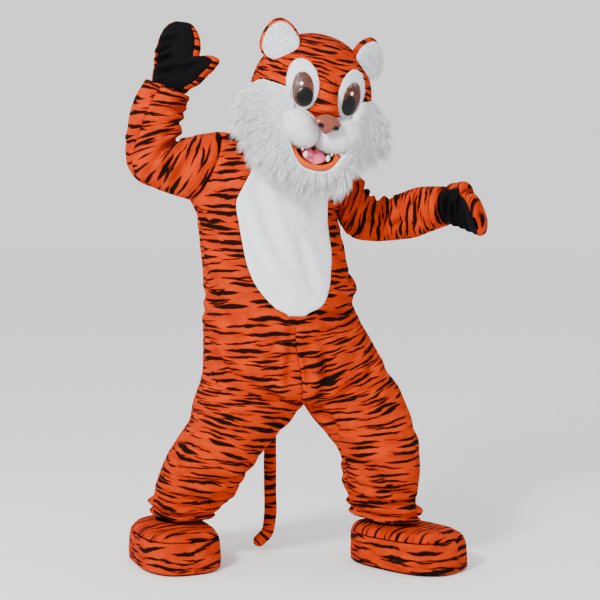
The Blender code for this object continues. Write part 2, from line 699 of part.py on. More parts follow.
def disc_on_skull(name, oval, low, high, colour, roughness=0.95, steps=20):
    """An oval that lies on the skull, from low to high above it, with a rounded edge.

    oval: x and z of its middle, half its width and height, and the degrees it leans.
    """
    x, z, half_x, half_z, tilt = oval
    lean = math.radians(tilt)
    thick = high - low
    rings = [(share, high - thick * 0.7 * share**4) for share in (0.30, 0.60, 0.85, 1.0)]
    rings += [(share, low) for share in (1.0, 0.66, 0.33)]

    def at(share, k, height):
        angle = math.tau * k / steps
        u, v = half_x * share * math.cos(angle), half_z * share * math.sin(angle)
        px = x + u * math.cos(lean) - v * math.sin(lean)
        pz = z + u * math.sin(lean) + v * math.cos(lean)
        on = Vector((px, skull_front(px, pz), pz))
        return HEAD @ (on + on.normalized() * height)

    points = [at(0.0, 0, high)]
    for share, height in rings:
        points += [at(share, k, height) for k in range(steps)]
    points.append(at(0.0, 0, low))
    faces = []
    for k in range(steps):
        after = (k + 1) % steps
        faces.append((0, 1 + k, 1 + after))
        for ring in range(len(rings) - 1):
            a, b = 1 + ring * steps, 1 + (ring + 1) * steps
            faces.append((a + k, b + k, b + after, a + after))
        end = 1 + (len(rings) - 1) * steps
        faces.append((end + after, end + k, len(points) - 1))
    return facing_out(mesh_object(name, points, faces, colour, roughness))


# The fur round the face. angle: degrees from straight down. near, far: where it starts and ends
# from the middle of the face. near_y, far_y: how far forward its front is. thick: at its middle.
# pressed: how much of its reach is left on the wearer's left, where it meets the chest.
RUFF = (
    # angle,  near,   far, near_y,  far_y, thick, pressed
    (26.0, 0.214, 0.306, -0.215, -0.205, 0.026, 0.94),
    (38.0, 0.194, 0.296, -0.212, -0.185, 0.034, 0.90),
    (50.0, 0.168, 0.290, -0.205, -0.150, 0.044, 0.92),
    (62.0, 0.152, 0.290, -0.196, -0.125, 0.052, 0.97),
    (74.0, 0.140, 0.285, -0.188, -0.110, 0.054, 1.00),
    (86.0, 0.134, 0.262, -0.180, -0.100, 0.046, 1.00),
    (98.0, 0.134, 0.232, -0.172, -0.090, 0.030, 1.00),
)
BEARD_HALF = 25.6  # degrees to each side
BEARD = (0.232, 0.298, -0.222, -0.205, 0.024, 1.00)  # the same columns, straight down
BEARD_STEPS = 4
RUFF_STEPS = 6


def ruff_row(angle, near, far, near_y, far_y, thick, pressed):
    """Front and back points of the fur along one angle, clear of the skull behind it."""
    turned = math.radians(angle)
    far *= pressed if angle > 0 else 1.0
    row = []
    for k in range(RUFF_STEPS + 1):
        share = k / RUFF_STEPS
        reach = near + (far - near) * share
        x, z = reach * math.sin(turned), -reach * math.cos(turned)
        swell = math.sin(math.pi * min(1.0, share * 1.1 + 0.08))
        front = near_y + (far_y - near_y) * share**1.4 - thick * 0.35 * swell
        back = front + max(0.008, thick * (0.45 + 0.75 * swell))
        if skull_front(x, z) < -0.02:
            back = min(back, skull_front(x, z) - PAD_GAP - 0.002)
        if back <= front + 0.006:
            front = back - 0.006
        row.append((Vector((x, front, z)), Vector((x, back, z))))
    return row


def build_ruff(puff_tools):
    for side, sign in (("left", 1), ("right", -1)):
        rows = [ruff_row(sign * row[0], *row[1:]) for row in RUFF]
        cut(pad(f"ruff_{side}", rows, WHITE), *puff_tools)
    rows = []
    for k in range(BEARD_STEPS + 1):
        angle = BEARD_HALF * (2 * k / BEARD_STEPS - 1)
        blend = abs(angle) / BEARD_HALF
        values = [a + (b - a) * blend**2 for a, b in zip(BEARD, RUFF[0][1:])]
        rows.append(ruff_row(angle, *values))
    pad("beard", rows, WHITE)


# Pads of stuffed plush on the head, for the wearer's left; the right is their mirror. x, y, z:
# the middle. half_x, half_y, half_z: half the size. Then degrees of turn about X, Y and Z.
PUFF = ((0.0690, -0.158, -0.100), (0.078, 0.102, 0.058), (0, -30, 0))
EAR = ((0.152, -0.045, 0.164), (0.064, 0.017, 0.070), (-6, 16, 24))
EAR_INNER = ((0.156, -0.075, 0.158), (0.055, 0.0095, 0.061), (-6, 16, 24))
PUFF_STEPS = (24, 14)
HALF_TOOL = 0.6  # side of the cube that keeps one puff off the other
SKULL_TOOL = 1.012  # a puff or an ear stands this many times the skull's size away from its middle

# Ovals that lie on the skull, for the wearer's left; the right is their mirror.
# x, z: the middle. half_x, half_z: half the size. low, high: from where to where above the skull.
OVALS = (
    # name,          x,     z, half_x, half_z,    low,   high, colour, roughness
    ("eye_patch", 0.082, 0.036, 0.048, 0.080, 0.0015, 0.0080, WHITE, 0.95),
    ("eye", 0.079, 0.021, 0.031, 0.053, 0.0098, 0.0125, BROWN, 0.2),
    ("pupil", 0.070, 0.000, 0.023, 0.029, 0.0142, 0.0160, BLACK, 0.12),
)
OVAL_LEAN = -8  # degrees
GLINT = (0.080, 0.037, 0.0050, 0.0055)  # x, z, half_x, half_z
GLINT_SHIFT = -0.006  # both glints lie to the same side of their eyes
GLINT_OVER = (0.0135, 0.0150)


def mirrored(shape, sign):
    """A pad's middle, size and turn on the wearer's left, for 1, or right, for -1."""
    (x, y, z), half, (turn_x, turn_y, turn_z) = shape
    return (sign * x, y, z), half, (turn_x, sign * turn_y, sign * turn_z)


def build_eye(side, sign):
    for name, x, z, half_x, half_z, low, high, colour, roughness in OVALS:
        oval = (sign * x, z, half_x, half_z, sign * OVAL_LEAN)
        disc_on_skull(f"{name}_{side}", oval, low, high, colour, roughness)
    x, z, half_x, half_z = GLINT
    oval = (sign * x + GLINT_SHIFT, z, half_x, half_z, 0)
    disc_on_skull(f"glint_{side}", oval, *GLINT_OVER, WHITE, 0.2, 12)


def build_face():
    skull_tool = cutter(ball("skull_tool", (0, 0, 0), SKULL * SKULL_TOOL, WHITE, steps=(64, 48)))
    puff_tools = []
    for side, sign in (("left", 1), ("right", -1)):
        where, size, turn = mirrored(PUFF, sign)
        grown = tuple(half + PAD_GAP + 0.001 for half in size)
        puff_tools.append(
            cutter(ball(f"muzzle_tool_{side}", where, grown, WHITE, turn=turn, steps=(40, 24)))
        )
        middle = (-sign * (HALF_TOOL / 2 - SEAM * 0.75), 0, 0)
        half_tool = cutter(box(f"half_tool_{side}", middle, HALF_TOOL))
        puff = ball(f"muzzle_{side}", where, size, WHITE, turn=turn, steps=PUFF_STEPS)
        cut(puff, skull_tool, half_tool)
        for name, shape, colour in (("back", EAR, ORANGE), ("inner", EAR_INNER, WHITE)):
            where, size, turn = mirrored(shape, sign)
            cut(ball(f"ear_{side}_{name}", where, size, colour, turn=turn), skull_tool)
        build_eye(side, sign)
    for side in ("left", "right"):
        cut(bpy.data.objects[f"eye_patch_{side}"], *puff_tools)
        cut(bpy.data.objects[f"eye_{side}"], *puff_tools)
    build_bridge(puff_tools)
    build_nose(puff_tools)
    build_mouth(puff_tools)
    build_ruff(puff_tools)


# The orange snout: z of its top and bottom, and half its width and its rise at each.
BRIDGE_Z = (0.080, -0.032)
BRIDGE_HALF = (0.0165, 0.0465)
BRIDGE_LIFT = (0.008, 0.054)
BRIDGE_STEPS = (6, 8)  # down and across
NOSE = ((0, -0.266, -0.068), (0.045, 0.026, 0.030))
NOSTRIL = ((0.022, -0.296, -0.076), (0.007, 0.003, 0.004))


def build_bridge(puff_tools):
    """The orange snout, from between the eyes down to the nose."""
    rows = []
    down, over = BRIDGE_STEPS
    for k in range(down + 1):
        share = k / down
        z = BRIDGE_Z[0] + (BRIDGE_Z[1] - BRIDGE_Z[0]) * share
        half = BRIDGE_HALF[0] + (BRIDGE_HALF[1] - BRIDGE_HALF[0]) * share**1.4
        lift = BRIDGE_LIFT[0] + (BRIDGE_LIFT[1] - BRIDGE_LIFT[0]) * share**1.3
        row = []
        for j in range(over + 1):
            way = 2.0 * j / over - 1.0
            x = half * way
            base = skull_front(x, z) - PAD_GAP - 0.001
            front = base - 0.002 - (lift - 0.002) * math.sqrt(1.0 - way * way)
            row.append((Vector((x, front, z)), Vector((x, base, z))))
        rows.append(row)
    cut(pad("nose_bridge", rows, ORANGE), *puff_tools)


def build_nose(puff_tools):
    nose = ball("nose", *NOSE, NOSE_BROWN, 0.35)
    bridge_tool = cutter(ball("bridge_tool", (0, -0.215, -0.02), (0.056, 0.052, 0.036), WHITE))
    cut(nose, bridge_tool, *puff_tools)
    for side, sign in (("left", 1), ("right", -1)):
        (x, y, z), half = NOSTRIL
        ball(f"nostril_{side}", (sign * x, y, z), half, BLACK, 0.4, steps=(12, 8))


MOUTH_HALF = 0.076
MOUTH_TOP = -0.150
MOUTH_BOTTOM = -0.213
MOUTH_STEPS = 12
LIP_THICK = 0.009
LINING = 0.004
LINING_ROWS = 6
TONGUE = ((0, -0.194, -0.180), (0.040, 0.034, 0.010), (38, 0, 0))  # middle, half size, degrees
TOOTH = (0.006, 0.004, 0.009)
TEETH = (("tooth_lower", 0.038, -0.226, -0.178), ("tooth_upper", 0.050, -0.220, -0.164))  # x, y, z


def mouth_edge(share):
    """The mouth's edge, a U from its right corner to its left one."""
    angle = math.pi * share
    x = -MOUTH_HALF * math.cos(angle)
    drop = math.sin(angle) ** 0.8
    z = MOUTH_TOP + (MOUTH_BOTTOM - MOUTH_TOP) * drop
    return Vector((x, -0.184 - 0.048 * drop, z))


def build_mouth(puff_tools):
    edge = [HEAD @ mouth_edge(k / MOUTH_STEPS) for k in range(MOUTH_STEPS + 1)]
    cut(tube("lip", edge, LIP_THICK, ORANGE), *puff_tools)
    rows = []
    for i in range(LINING_ROWS):
        inside = 0.86 - 0.80 * i / (LINING_ROWS - 1)
        row = []
        for k in range(MOUTH_STEPS + 1):
            rim = mouth_edge(k / MOUTH_STEPS)
            middle = Vector((rim.x * 0.75, -0.168, MOUTH_TOP - 0.014))
            point = middle.lerp(rim, inside)
            point.y += 0.006 + 0.012 * math.sin(math.pi * inside)
            row.append((point, point + Vector((0.0, LINING, -LINING))))
        rows.append(row)
    cut(pad("mouth_lining", rows, DARK_RED), *puff_tools)
    ball("tongue", *TONGUE[:2], PINK, 0.6, turn=TONGUE[2])
    for name, x, y, z in TEETH:
        for side, sign in (("left", 1), ("right", -1)):
            where = (sign * x, y, z)
            cut(ball(f"{name}_{side}", where, TOOTH, IVORY, 0.4, steps=(12, 8)), *puff_tools)


clear_scene()
held = bpy.data.objects.new("held_at_neck", None)
bpy.context.scene.collection.objects.link(held)
held.location = -NECK
build_suit()
for each in ("left", "right"):
    build_mitten(each)
    build_boot(each)
tube("tail", [Vector(point) for point in TAIL_PATH], TAIL_THICK, ORANGE, sides=14)
build_skull()
build_face()
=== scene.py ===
"""How the tiger mascot costume looks: striped plush suit, mittens, boots, tail and furred head.

Metres, +Z up. The tables hold heights above the floor, and every piece is moved by -NECK so that
the neck is at the origin. Left and right are the wearer's, so left is +X.
"""

import math

import bpy
import numpy as np
from mathutils import Matrix, Vector, kdtree, noise


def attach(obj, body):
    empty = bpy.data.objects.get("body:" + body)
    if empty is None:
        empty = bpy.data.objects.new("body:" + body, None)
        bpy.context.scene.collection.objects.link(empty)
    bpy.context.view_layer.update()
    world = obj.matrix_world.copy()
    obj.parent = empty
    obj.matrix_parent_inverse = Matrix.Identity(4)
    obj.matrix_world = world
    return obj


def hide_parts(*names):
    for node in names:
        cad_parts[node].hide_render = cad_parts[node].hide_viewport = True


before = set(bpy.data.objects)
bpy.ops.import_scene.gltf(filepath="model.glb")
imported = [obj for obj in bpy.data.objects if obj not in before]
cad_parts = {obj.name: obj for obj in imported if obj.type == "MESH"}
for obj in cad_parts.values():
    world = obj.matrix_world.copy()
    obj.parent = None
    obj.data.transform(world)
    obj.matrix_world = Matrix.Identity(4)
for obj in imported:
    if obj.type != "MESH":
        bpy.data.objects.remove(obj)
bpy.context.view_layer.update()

SIDES = (("left", 1), ("right", -1))
PLUSH = 0.004  # thickness of the suit's and the mittens' cloth
FOAM_PLUSH = 0.012  # of plush over the foam of the head and the boots
SEAM = 0.0004  # how far each panel stops short of its seams
PAD_GAP = 0.0015  # gap under a pad that lies on the skull
PANEL_STEPS = 6  # the tables' columns across a front, a back or half a sleeve
BELLY_STEPS = 3  # how many of the front's columns the belly takes
FINER = 8  # columns of the cloth to each column of the tables
ROUND = 6  # the same round a sleeve and its armhole
NECK = Vector((-0.030, -0.012, 1.462))  # middle of the neck opening: the wearer holds it up here
NECK_ACROSS = 0.088
NECK_DEEP = 0.082
NECK_TURN = 20.0  # degrees the shoulders turn to the wearer's left
NECK_TILT = 7.0

# The body, from the crotch up to the armpits. side: height at the side seams. middle: x of the
# section. half: half its width. front, back: depth to the centre seams. dip: how much lower the
# centre seams are. groove: how far the thighs stand in front of the centre seam. turn, tilt:
# degrees. belly: share of the front that the first columns take, from the centre seam.
BODY = (
    # side,  middle,  half, front,  back,   dip, groove, turn, tilt, belly
    (0.670, -0.016, 0.320, 0.072, 0.078, 0.094, 0.080, 12.0, 0.5, 0.46),
    (0.708, -0.022, 0.312, 0.122, 0.128, 0.104, 0.030, 14.0, 0.5, 0.40),
    (0.762, -0.036, 0.298, 0.148, 0.158, 0.090, 0.000, 16.0, 0.5, 0.33),
    (0.822, -0.053, 0.282, 0.156, 0.165, 0.080, 0.000, 17.0, 0.5, 0.24),
    (0.878, -0.068, 0.266, 0.160, 0.155, 0.065, 0.000, 20.0, 1.0, 0.14),
    (0.920, -0.068, 0.268, 0.160, 0.150, 0.049, 0.000, 22.0, 1.5, 0.07),
    (0.940, -0.066, 0.271, 0.160, 0.149, 0.050, 0.000, 22.0, 2.0, 0.17),
    (0.966, -0.067, 0.270, 0.161, 0.148, 0.046, 0.000, 22.0, 2.0, 0.26),
    (1.002, -0.075, 0.263, 0.162, 0.149, 0.040, 0.000, 22.0, 3.0, 0.34),
    (1.050, -0.085, 0.258, 0.163, 0.150, 0.029, 0.000, 23.0, 4.0, 0.40),
    (1.105, -0.092, 0.256, 0.165, 0.152, 0.018, 0.000, 24.0, 5.0, 0.435),
    (1.165, -0.103, 0.256, 0.167, 0.152, 0.012, 0.000, 25.0, 6.0, 0.45),
)
CHEST_BELLY = 0.455  # the belly's share of the front at the armpits
BELLY_FROM = 5  # the row of BODY where the belly starts

# Each leg, from the crotch to the hem, at its inner and outer edge as the wearer stands.
# in_y, out_y: how far back the edges are. front, back: depth of the leg before and behind them.
LEG = {
    "left": (
        # in_x,  in_z, out_x, out_z,  in_y,  out_y, front,  back
        (0.010, 0.562, 0.313, 0.642, 0.012, 0.066, 0.128, 0.122),
        (0.050, 0.505, 0.350, 0.570, 0.004, 0.050, 0.132, 0.124),
        (0.100, 0.450, 0.376, 0.492, -0.006, 0.024, 0.132, 0.126),
        (0.140, 0.400, 0.392, 0.425, -0.010, 0.004, 0.130, 0.122),
        (0.155, 0.350, 0.398, 0.360, -0.004, 0.000, 0.124, 0.122),
        (0.158, 0.300, 0.398, 0.300, 0.012, 0.012, 0.120, 0.120),
        (0.166, 0.255, 0.394, 0.250, 0.032, 0.032, 0.114, 0.115),
        (0.184, 0.228, 0.388, 0.214, 0.047, 0.047, 0.106, 0.106),
        (0.171, 0.207, 0.413, 0.188, 0.055, 0.055, 0.125, 0.120),
        (0.188, 0.188, 0.395, 0.164, 0.060, 0.060, 0.108, 0.106),
        (0.176, 0.172, 0.409, 0.151, 0.062, 0.062, 0.120, 0.117),
        (0.190, 0.158, 0.398, 0.141, 0.064, 0.064, 0.108, 0.106),
    ),
    "right": (
        (0.010, 0.562, -0.338, 0.642, 0.012, -0.058, 0.136, 0.105),
        (-0.040, 0.505, -0.364, 0.568, 0.004, -0.040, 0.138, 0.118),
        (-0.094, 0.445, -0.378, 0.500, 0.000, -0.018, 0.136, 0.126),
        (-0.144, 0.380, -0.412, 0.452, 0.000, 0.000, 0.134, 0.126),
        (-0.186, 0.328, -0.452, 0.386, 0.012, 0.012, 0.130, 0.124),
        (-0.212, 0.282, -0.478, 0.326, 0.034, 0.034, 0.124, 0.120),
        (-0.230, 0.236, -0.500, 0.268, 0.062, 0.062, 0.118, 0.115),
        (-0.272, 0.200, -0.512, 0.222, 0.085, 0.085, 0.108, 0.106),
        (-0.282, 0.182, -0.533, 0.202, 0.095, 0.095, 0.125, 0.120),
        (-0.304, 0.170, -0.516, 0.182, 0.100, 0.100, 0.108, 0.106),
        (-0.297, 0.158, -0.529, 0.168, 0.102, 0.102, 0.120, 0.117),
        (-0.312, 0.148, -0.518, 0.153, 0.104, 0.104, 0.108, 0.106),
    ),
}
LEG_TURN = {"left": 22.0, "right": 12.0}

ARMPIT = {"left": Vector((0.124, 0.100, 1.200)), "right": Vector((-0.366, -0.095, 1.252))}
SHOULDER = {"left": Vector((0.140, 0.080, 1.408)), "right": Vector((-0.276, -0.084, 1.484))}
ARMHOLE_FRONT = 0.080
ARMHOLE_BACK = 0.072
ARMHOLE_SCOOP = 0.018  # how far the armhole curves in toward the chest

# Each sleeve, from the shoulder to the wrist, at its upper and under edge.
# y: how far back they are. deep: half its depth. roll: degrees its seams turn about it. turn:
# degrees its section turns to the wearer's left.
SLEEVE = {
    "left": (
        # up_x,   up_z, under_x, under_z,    y,  deep, roll, turn
        (0.196, 1.358, 0.140, 1.174, 0.086, 0.080, 0.0, 0.0),
        (0.217, 1.320, 0.158, 1.148, 0.088, 0.082, 0.0, 0.0),
        (0.236, 1.286, 0.182, 1.123, 0.084, 0.080, 0.0, 0.0),
        (0.252, 1.267, 0.234, 1.112, 0.074, 0.078, 4.0, 0.0),
        (0.296, 1.263, 0.288, 1.114, 0.055, 0.076, 8.0, 0.0),
        (0.346, 1.281, 0.345, 1.119, 0.032, 0.080, 12.0, -4.0),
        (0.399, 1.298, 0.396, 1.127, 0.010, 0.082, 14.0, -10.0),
        (0.446, 1.302, 0.450, 1.149, -0.010, 0.076, 16.0, -20.0),
        (0.493, 1.301, 0.500, 1.168, -0.030, 0.072, 18.0, -34.0),
    ),
    "right": (
        (-0.334, 1.472, -0.428, 1.272, -0.085, 0.088, 4.0, 0.0),
        (-0.374, 1.459, -0.488, 1.296, -0.085, 0.086, 12.0, 0.0),
        (-0.398, 1.450, -0.548, 1.326, -0.082, 0.084, 24.0, 0.0),
        (-0.404, 1.462, -0.577, 1.374, -0.080, 0.084, 40.0, 0.0),
        (-0.398, 1.490, -0.581, 1.428, -0.078, 0.084, 56.0, 0.0),
        (-0.394, 1.518, -0.576, 1.484, -0.075, 0.082, 66.0, 0.0),
        (-0.386, 1.546, -0.566, 1.542, -0.070, 0.080, 72.0, 0.0),
        (-0.376, 1.572, -0.546, 1.600, -0.066, 0.074, 76.0, 0.0),
        (-0.364, 1.597, -0.514, 1.658, -0.062, 0.070, 80.0, 0.0),
    ),
}

# A mitten laid flat, thumb to +x. along: distance from the cuff. outer, thumb: its two edges.
# thick: half its thickness.
MITTEN = (
    # along,  outer, thumb, thick
    (0.000, -0.048, 0.048, 0.034),
    (0.014, -0.056, 0.057, 0.039),
    (0.030, -0.066, 0.088, 0.044),
    (0.050, -0.074, 0.124, 0.043),
    (0.072, -0.078, 0.152, 0.042),
    (0.094, -0.080, 0.160, 0.041),
    (0.108, -0.080, 0.142, 0.041),
    (0.116, -0.080, 0.110, 0.041),
    (0.122, -0.080, 0.086, 0.040),
    (0.156, -0.077, 0.082, 0.037),
    (0.190, -0.068, 0.073, 0.032),
    (0.218, -0.050, 0.054, 0.022),
    (0.234, -0.024, 0.028, 0.007),
)
MITTEN_STEPS = 28  # faces across a palm or a back
MITTEN_ROWS = (3, 3, 4, 5, 5, 4, 3, 3, 7, 7, 6, 4)  # rows of cloth between two rows of MITTEN
CUFF_WIDE = {"left": 1.0, "right": 1.25}  # how much the wider sleeve lets the cuff spread
CUFF_FADE = 0.060
THUMB_RISE = {"left": 0.75, "right": 0.30}  # how much the thumb points toward the fingers
THUMB_FROM = 0.050
PALM_EDGE = 0.080  # what reaches past it is thumb
PALM_INSET = 28.0  # degrees of its section that the palm's seams lie in from the mitten's edges
THUMB_ROW = 0.100  # a row that reaches past this holds the thumb
CURL_FROM = 0.045
THUMB_REACH = {"left": 0.40, "right": 1.0}  # a cupped hand holds its thumb closer
MITTEN_CURL = {"left": 66.0, "right": 8.0}

BOOT_LENGTH = 0.405
BOOT_WIDTH = 0.264
BOOT_PLACE = {"left": (0.371, 0.018, 50.0), "right": (-0.442, 0.040, 25.0)}  # x, y, degrees of turn
BOOT_STEPS = 96
BOOT_ROUND = 0.74  # 1 is an oval and 0 a rectangle
BOOT_TAPER = 0.13  # how much narrower the heel is than the toe
BOOT_SOLE = 0.008
BOOT_ANKLE = (0.072, 0.072)  # half length and half width of the opening
# From the middle of the boot to the opening's: to the wearer's left, and back.
BOOT_ANKLE_AT = {"left": (0.0, 0.074), "right": (0.035, 0.052)}
# Height and reach of the boot's wall, from the sole to the opening.
BOOT_SIDE = ((0.0085, 0.985), (0.030, 1.000), (0.060, 0.985), (0.088, 0.960), (0.104, 0.915))
BOOT_TOP = ((0.1042, 0.913), (0.117, 0.78), (0.124, 0.40), (0.128, 0.0))
BOOT_RIM = 0.970  # reach of the sole

TAIL_THICK = 0.0225
TAIL_PATH = (
    (-0.088, 0.196, 0.735),
    (-0.090, 0.226, 0.690),
    (-0.098, 0.228, 0.600),
    (-0.106, 0.214, 0.480),
    (-0.107, 0.205, 0.360),
    (-0.107, 0.203, 0.230),
    (-0.108, 0.202, 0.120),
    (-0.120, 0.200, 0.066),
    (-0.146, 0.198, 0.040),
)

HEAD = (
    Matrix.Translation((0.034, -0.048, 1.599))
    @ Matrix.Rotation(math.radians(16.0), 4, "Z")
    @ Matrix.Rotation(math.radians(10.0), 4, "Y")
    @ Matrix.Rotation(math.radians(8.0), 4, "X")
)
SKULL = Vector((0.205, 0.210, 0.210))  # half width, depth and height
HEAD_RADIUS = 0.2085  # the skull's mean radius
HEAD_OPENING = -47.0  # degrees below its middle where the head ends
HEAD_ROWS = 40
HEAD_COLUMNS = 56

# The fur round the face. angle: degrees from straight down. near, far: where it starts and ends
# from the middle of the face. near_y, far_y: how far forward its front is. thick: at its middle.
# pressed: how much of its reach is left on the wearer's left, where it meets the chest.
RUFF = (
    # angle,  near,   far, near_y,  far_y, thick, pressed
    (26.0, 0.214, 0.306, -0.215, -0.205, 0.026, 0.94),
    (38.0, 0.194, 0.296, -0.212, -0.185, 0.034, 0.90),
    (50.0, 0.168, 0.290, -0.205, -0.150, 0.044, 0.92),
    (62.0, 0.152, 0.290, -0.196, -0.125, 0.052, 0.97),
    (74.0, 0.140, 0.285, -0.188, -0.110, 0.054, 1.00),
    (86.0, 0.134, 0.262, -0.180, -0.100, 0.046, 1.00),
    (98.0, 0.134, 0.232, -0.172, -0.090, 0.030, 1.00),
)
BEARD_HALF = 25.7  # degrees to each side
BEARD = (0.232, 0.298, -0.222, -0.205, 0.024, 1.00)  # the same columns, straight down
BEARD_STEPS = 20  # sections of the beard
BEARD_HAIRS = 7500
RUFF_FROM_TO = (26.0, 98.0)  # degrees from straight down, on each side
RUFF_STEPS = 30  # sections of each side of the ruff
RUFF_HAIRS = 11000
# How far the body of the ruff stops short of its fur's reach, and how far in it starts.
RUFF_SHORT = 0.042
RUFF_IN = (
    # angle, where the fur starts
    (0.0, 0.225),
    (8.0, 0.224),
    (14.0, 0.217),
    (20.0, 0.204),
    (27.0, 0.187),
    (38.0, 0.166),
    (50.0, 0.146),
    (64.0, 0.112),
    (76.0, 0.102),
    (86.0, 0.112),
    (98.0, 0.120),
)
RUFF_HAIR = (0.011, 0.062)  # length at the inner edge, and how much longer at the outer one

# Pads of stuffed plush on the head, for the wearer's left; the right is their mirror. x, y, z:
# the middle. half_x, half_y, half_z: half the size. Then degrees of turn about X, Y and Z.
PUFF = ((0.0690, -0.158, -0.100), (0.078, 0.102, 0.058), (0, -30, 0))
EAR = ((0.152, -0.045, 0.164), (0.064, 0.017, 0.070), (-6, 16, 24))
EAR_INNER = ((0.156, -0.075, 0.158), (0.055, 0.0095, 0.061), (-6, 16, 24))

# Ovals that lie on the skull, for the wearer's left; the right is their mirror.
# x, z: the middle. half_x, half_z: half the size. low, high: from where to where above the skull.
OVALS = (
    # name,          x,     z, half_x, half_z,    low,   high
    ("eye_patch", 0.082, 0.036, 0.048, 0.080, 0.0015, 0.0080),
    ("eye", 0.079, 0.021, 0.031, 0.053, 0.0098, 0.0125),
    ("pupil", 0.070, 0.000, 0.023, 0.029, 0.0142, 0.0160),
)
OVAL_LEAN = -8  # degrees
# The glints are painted highlights: white discs on the eyes that stand for the lamps' reflection.
GLINT = (0.080, 0.037, 0.0050, 0.0055)  # x, z, half_x, half_z
GLINT_SHIFT = -0.006  # both glints lie to the same side of their eyes
GLINT_OVER = (0.0135, 0.0150)

# The orange snout: z of its top and bottom, and half its width and its rise at each.
BRIDGE_Z = (0.080, -0.032)
BRIDGE_HALF = (0.0165, 0.0465)
BRIDGE_LIFT = (0.008, 0.054)
BRIDGE_STEPS = (32, 25)  # down and across
NOSE = ((0, -0.266, -0.068), (0.045, 0.026, 0.030))
NOSTRIL = ((0.025, -0.287, -0.076), (0.011, 0.006, 0.0075))

MOUTH_HALF = 0.076
MOUTH_TOP = -0.150
MOUTH_BOTTOM = -0.213
MOUTH_STEPS = 48  # sections of the lip
LIP_THICK = 0.009
LINING = 0.004
LINING_ROWS = 14  # from the lip in to the lining's end
TONGUE = ((0, -0.194, -0.180), (0.040, 0.034, 0.010), (38, 0, 0))  # middle, half size, degrees
TOOTH = (0.006, 0.004, 0.009)
TEETH = (
    # name, x, y, z, times the size of TOOTH
    ("tooth_lower", 0.038, -0.226, -0.178, 1.2),
    ("tooth_upper", 0.050, -0.220, -0.164, 0.6),
)

# Rows of cloth between one row of the tables and the next, from the hem up to the shoulder.
SUIT_ROWS = (2, 2, 3, 4, 5, 6, 8, 9, 9, 9, 9) + (4,) + (5, 7, 8, 7, 6, 3, 4, 5, 6, 7, 8) + (6,)
SUIT_ROWS += (ROUND,) * PANEL_STEPS
SLEEVE_ROWS = (5, 6, 6, 6, 7, 7, 7, 7, 7)
LEVEL_FROM = {"left": 84, "right": 52}  # from this row of fine cloth up, the strokes turn level
LEVEL_OVER = 22  # over this many rows

# How far along the printed cloth each piece is cut, so that no two show the same strokes.
PRINT_AT = {
    "body_left": 3.1,
    "body_right": 7.7,
    "sleeve_left": 13.0,
    "sleeve_right": 17.4,
    "mitten": 21.0,
    "boot_left": 25.0,
    "boot_right": 28.2,
    "head_front": 31.6,
    "head_back": 34.0,
}
HEAD_PRINT_UP = 0.15  # where the head's lower edge is up the print


def ahead(turn):
    """The level direction that a section turned this many degrees to the wearer's left faces."""
    return Vector((math.sin(math.radians(turn)), -math.cos(math.radians(turn)), 0.0))


def across(turn, tilt=0.0):
    """From the wearer's right to the wearer's left, lower at the left by the tilt."""
    level = math.cos(math.radians(tilt))
    turned = math.radians(turn)
    return Vector(
        (math.cos(turned) * level, math.sin(turned) * level, -math.sin(math.radians(tilt)))
    )


def arc(start, start_pull, end_pull, end, shares):
    """Points of a cubic curve that leaves its start along one pull and arrives along the other."""
    first, second = start + start_pull, end + end_pull
    points = []
    for t in shares:
        s = 1.0 - t
        points.append(
            start * s**3 + first * (3 * s * s * t) + second * (3 * s * t * t) + end * t**3
        )
    return points


def shares(belly):
    """Where a front's columns lie across it, the first ones within the belly's share."""
    inside = [belly * k / (BELLY_STEPS * FINER) for k in range(BELLY_STEPS * FINER + 1)]
    left = (PANEL_STEPS - BELLY_STEPS) * FINER
    return inside + [belly + (1.0 - belly) * k / left for k in range(1, left + 1)]


EVEN = [k / (PANEL_STEPS * FINER) for k in range(PANEL_STEPS * FINER + 1)]


def leg_rows(side, facing):
    """A leg's rows from the hem to the crotch, from its inner seam to its outer seam."""
    rows = []
    for in_x, in_z, out_x, out_z, in_y, out_y, front, back in reversed(LEG[side]):
        deep = front if facing > 0 else back
        pull = ahead(LEG_TURN[side]) * (facing * deep * 4.0 / 3.0)
        inner, outer = Vector((in_x, in_y, in_z)), Vector((out_x, out_y, out_z))
        rows.append(arc(inner, pull, pull, outer, EVEN))
    return rows


def body_rows(side, facing):
    """A quarter of the body from the crotch to below the armpit, from centre seam to side seam."""
    sign = dict(SIDES)[side]
    rows = []
    for height, middle, half, front, back, dip, groove, turn, tilt, belly in BODY:
        deep = front if facing > 0 else back
        face, side_way = ahead(turn) * facing, across(turn, tilt) * sign
        centre = Vector((middle, 0.0, height))
        seam = centre + face * deep - Vector((0.0, 0.0, dip))
        seam_pull = side_way * (0.5523 * half * (1.0 - groove * 6.0)) + face * groove
        edge_pull = face * (0.5523 * max(deep, 0.15) + groove * 0.5)
        split = shares(belly) if facing > 0 else EVEN
        rows.append(arc(seam, seam_pull, edge_pull, centre + side_way * half, split))
    return rows


def armhole(side):
    """The armhole's front and back edges, from the armpit to the shoulder."""
    low, high = ARMPIT[side], SHOULDER[side]
    sign = dict(SIDES)[side]
    edges = []
    for facing, deep in ((1, ARMHOLE_FRONT), (-1, ARMHOLE_BACK)):
        edge = []
        for k in range(PANEL_STEPS + 1):
            angle = math.pi * k / PANEL_STEPS
            point = low.lerp(high, 0.5 - 0.5 * math.cos(angle))
            point = point + ahead(NECK_TURN) * (facing * deep * math.sin(angle))
            edge.append(point - across(NECK_TURN) * (sign * ARMHOLE_SCOOP * math.sin(angle)))
        edges.append(edge)
    return edges


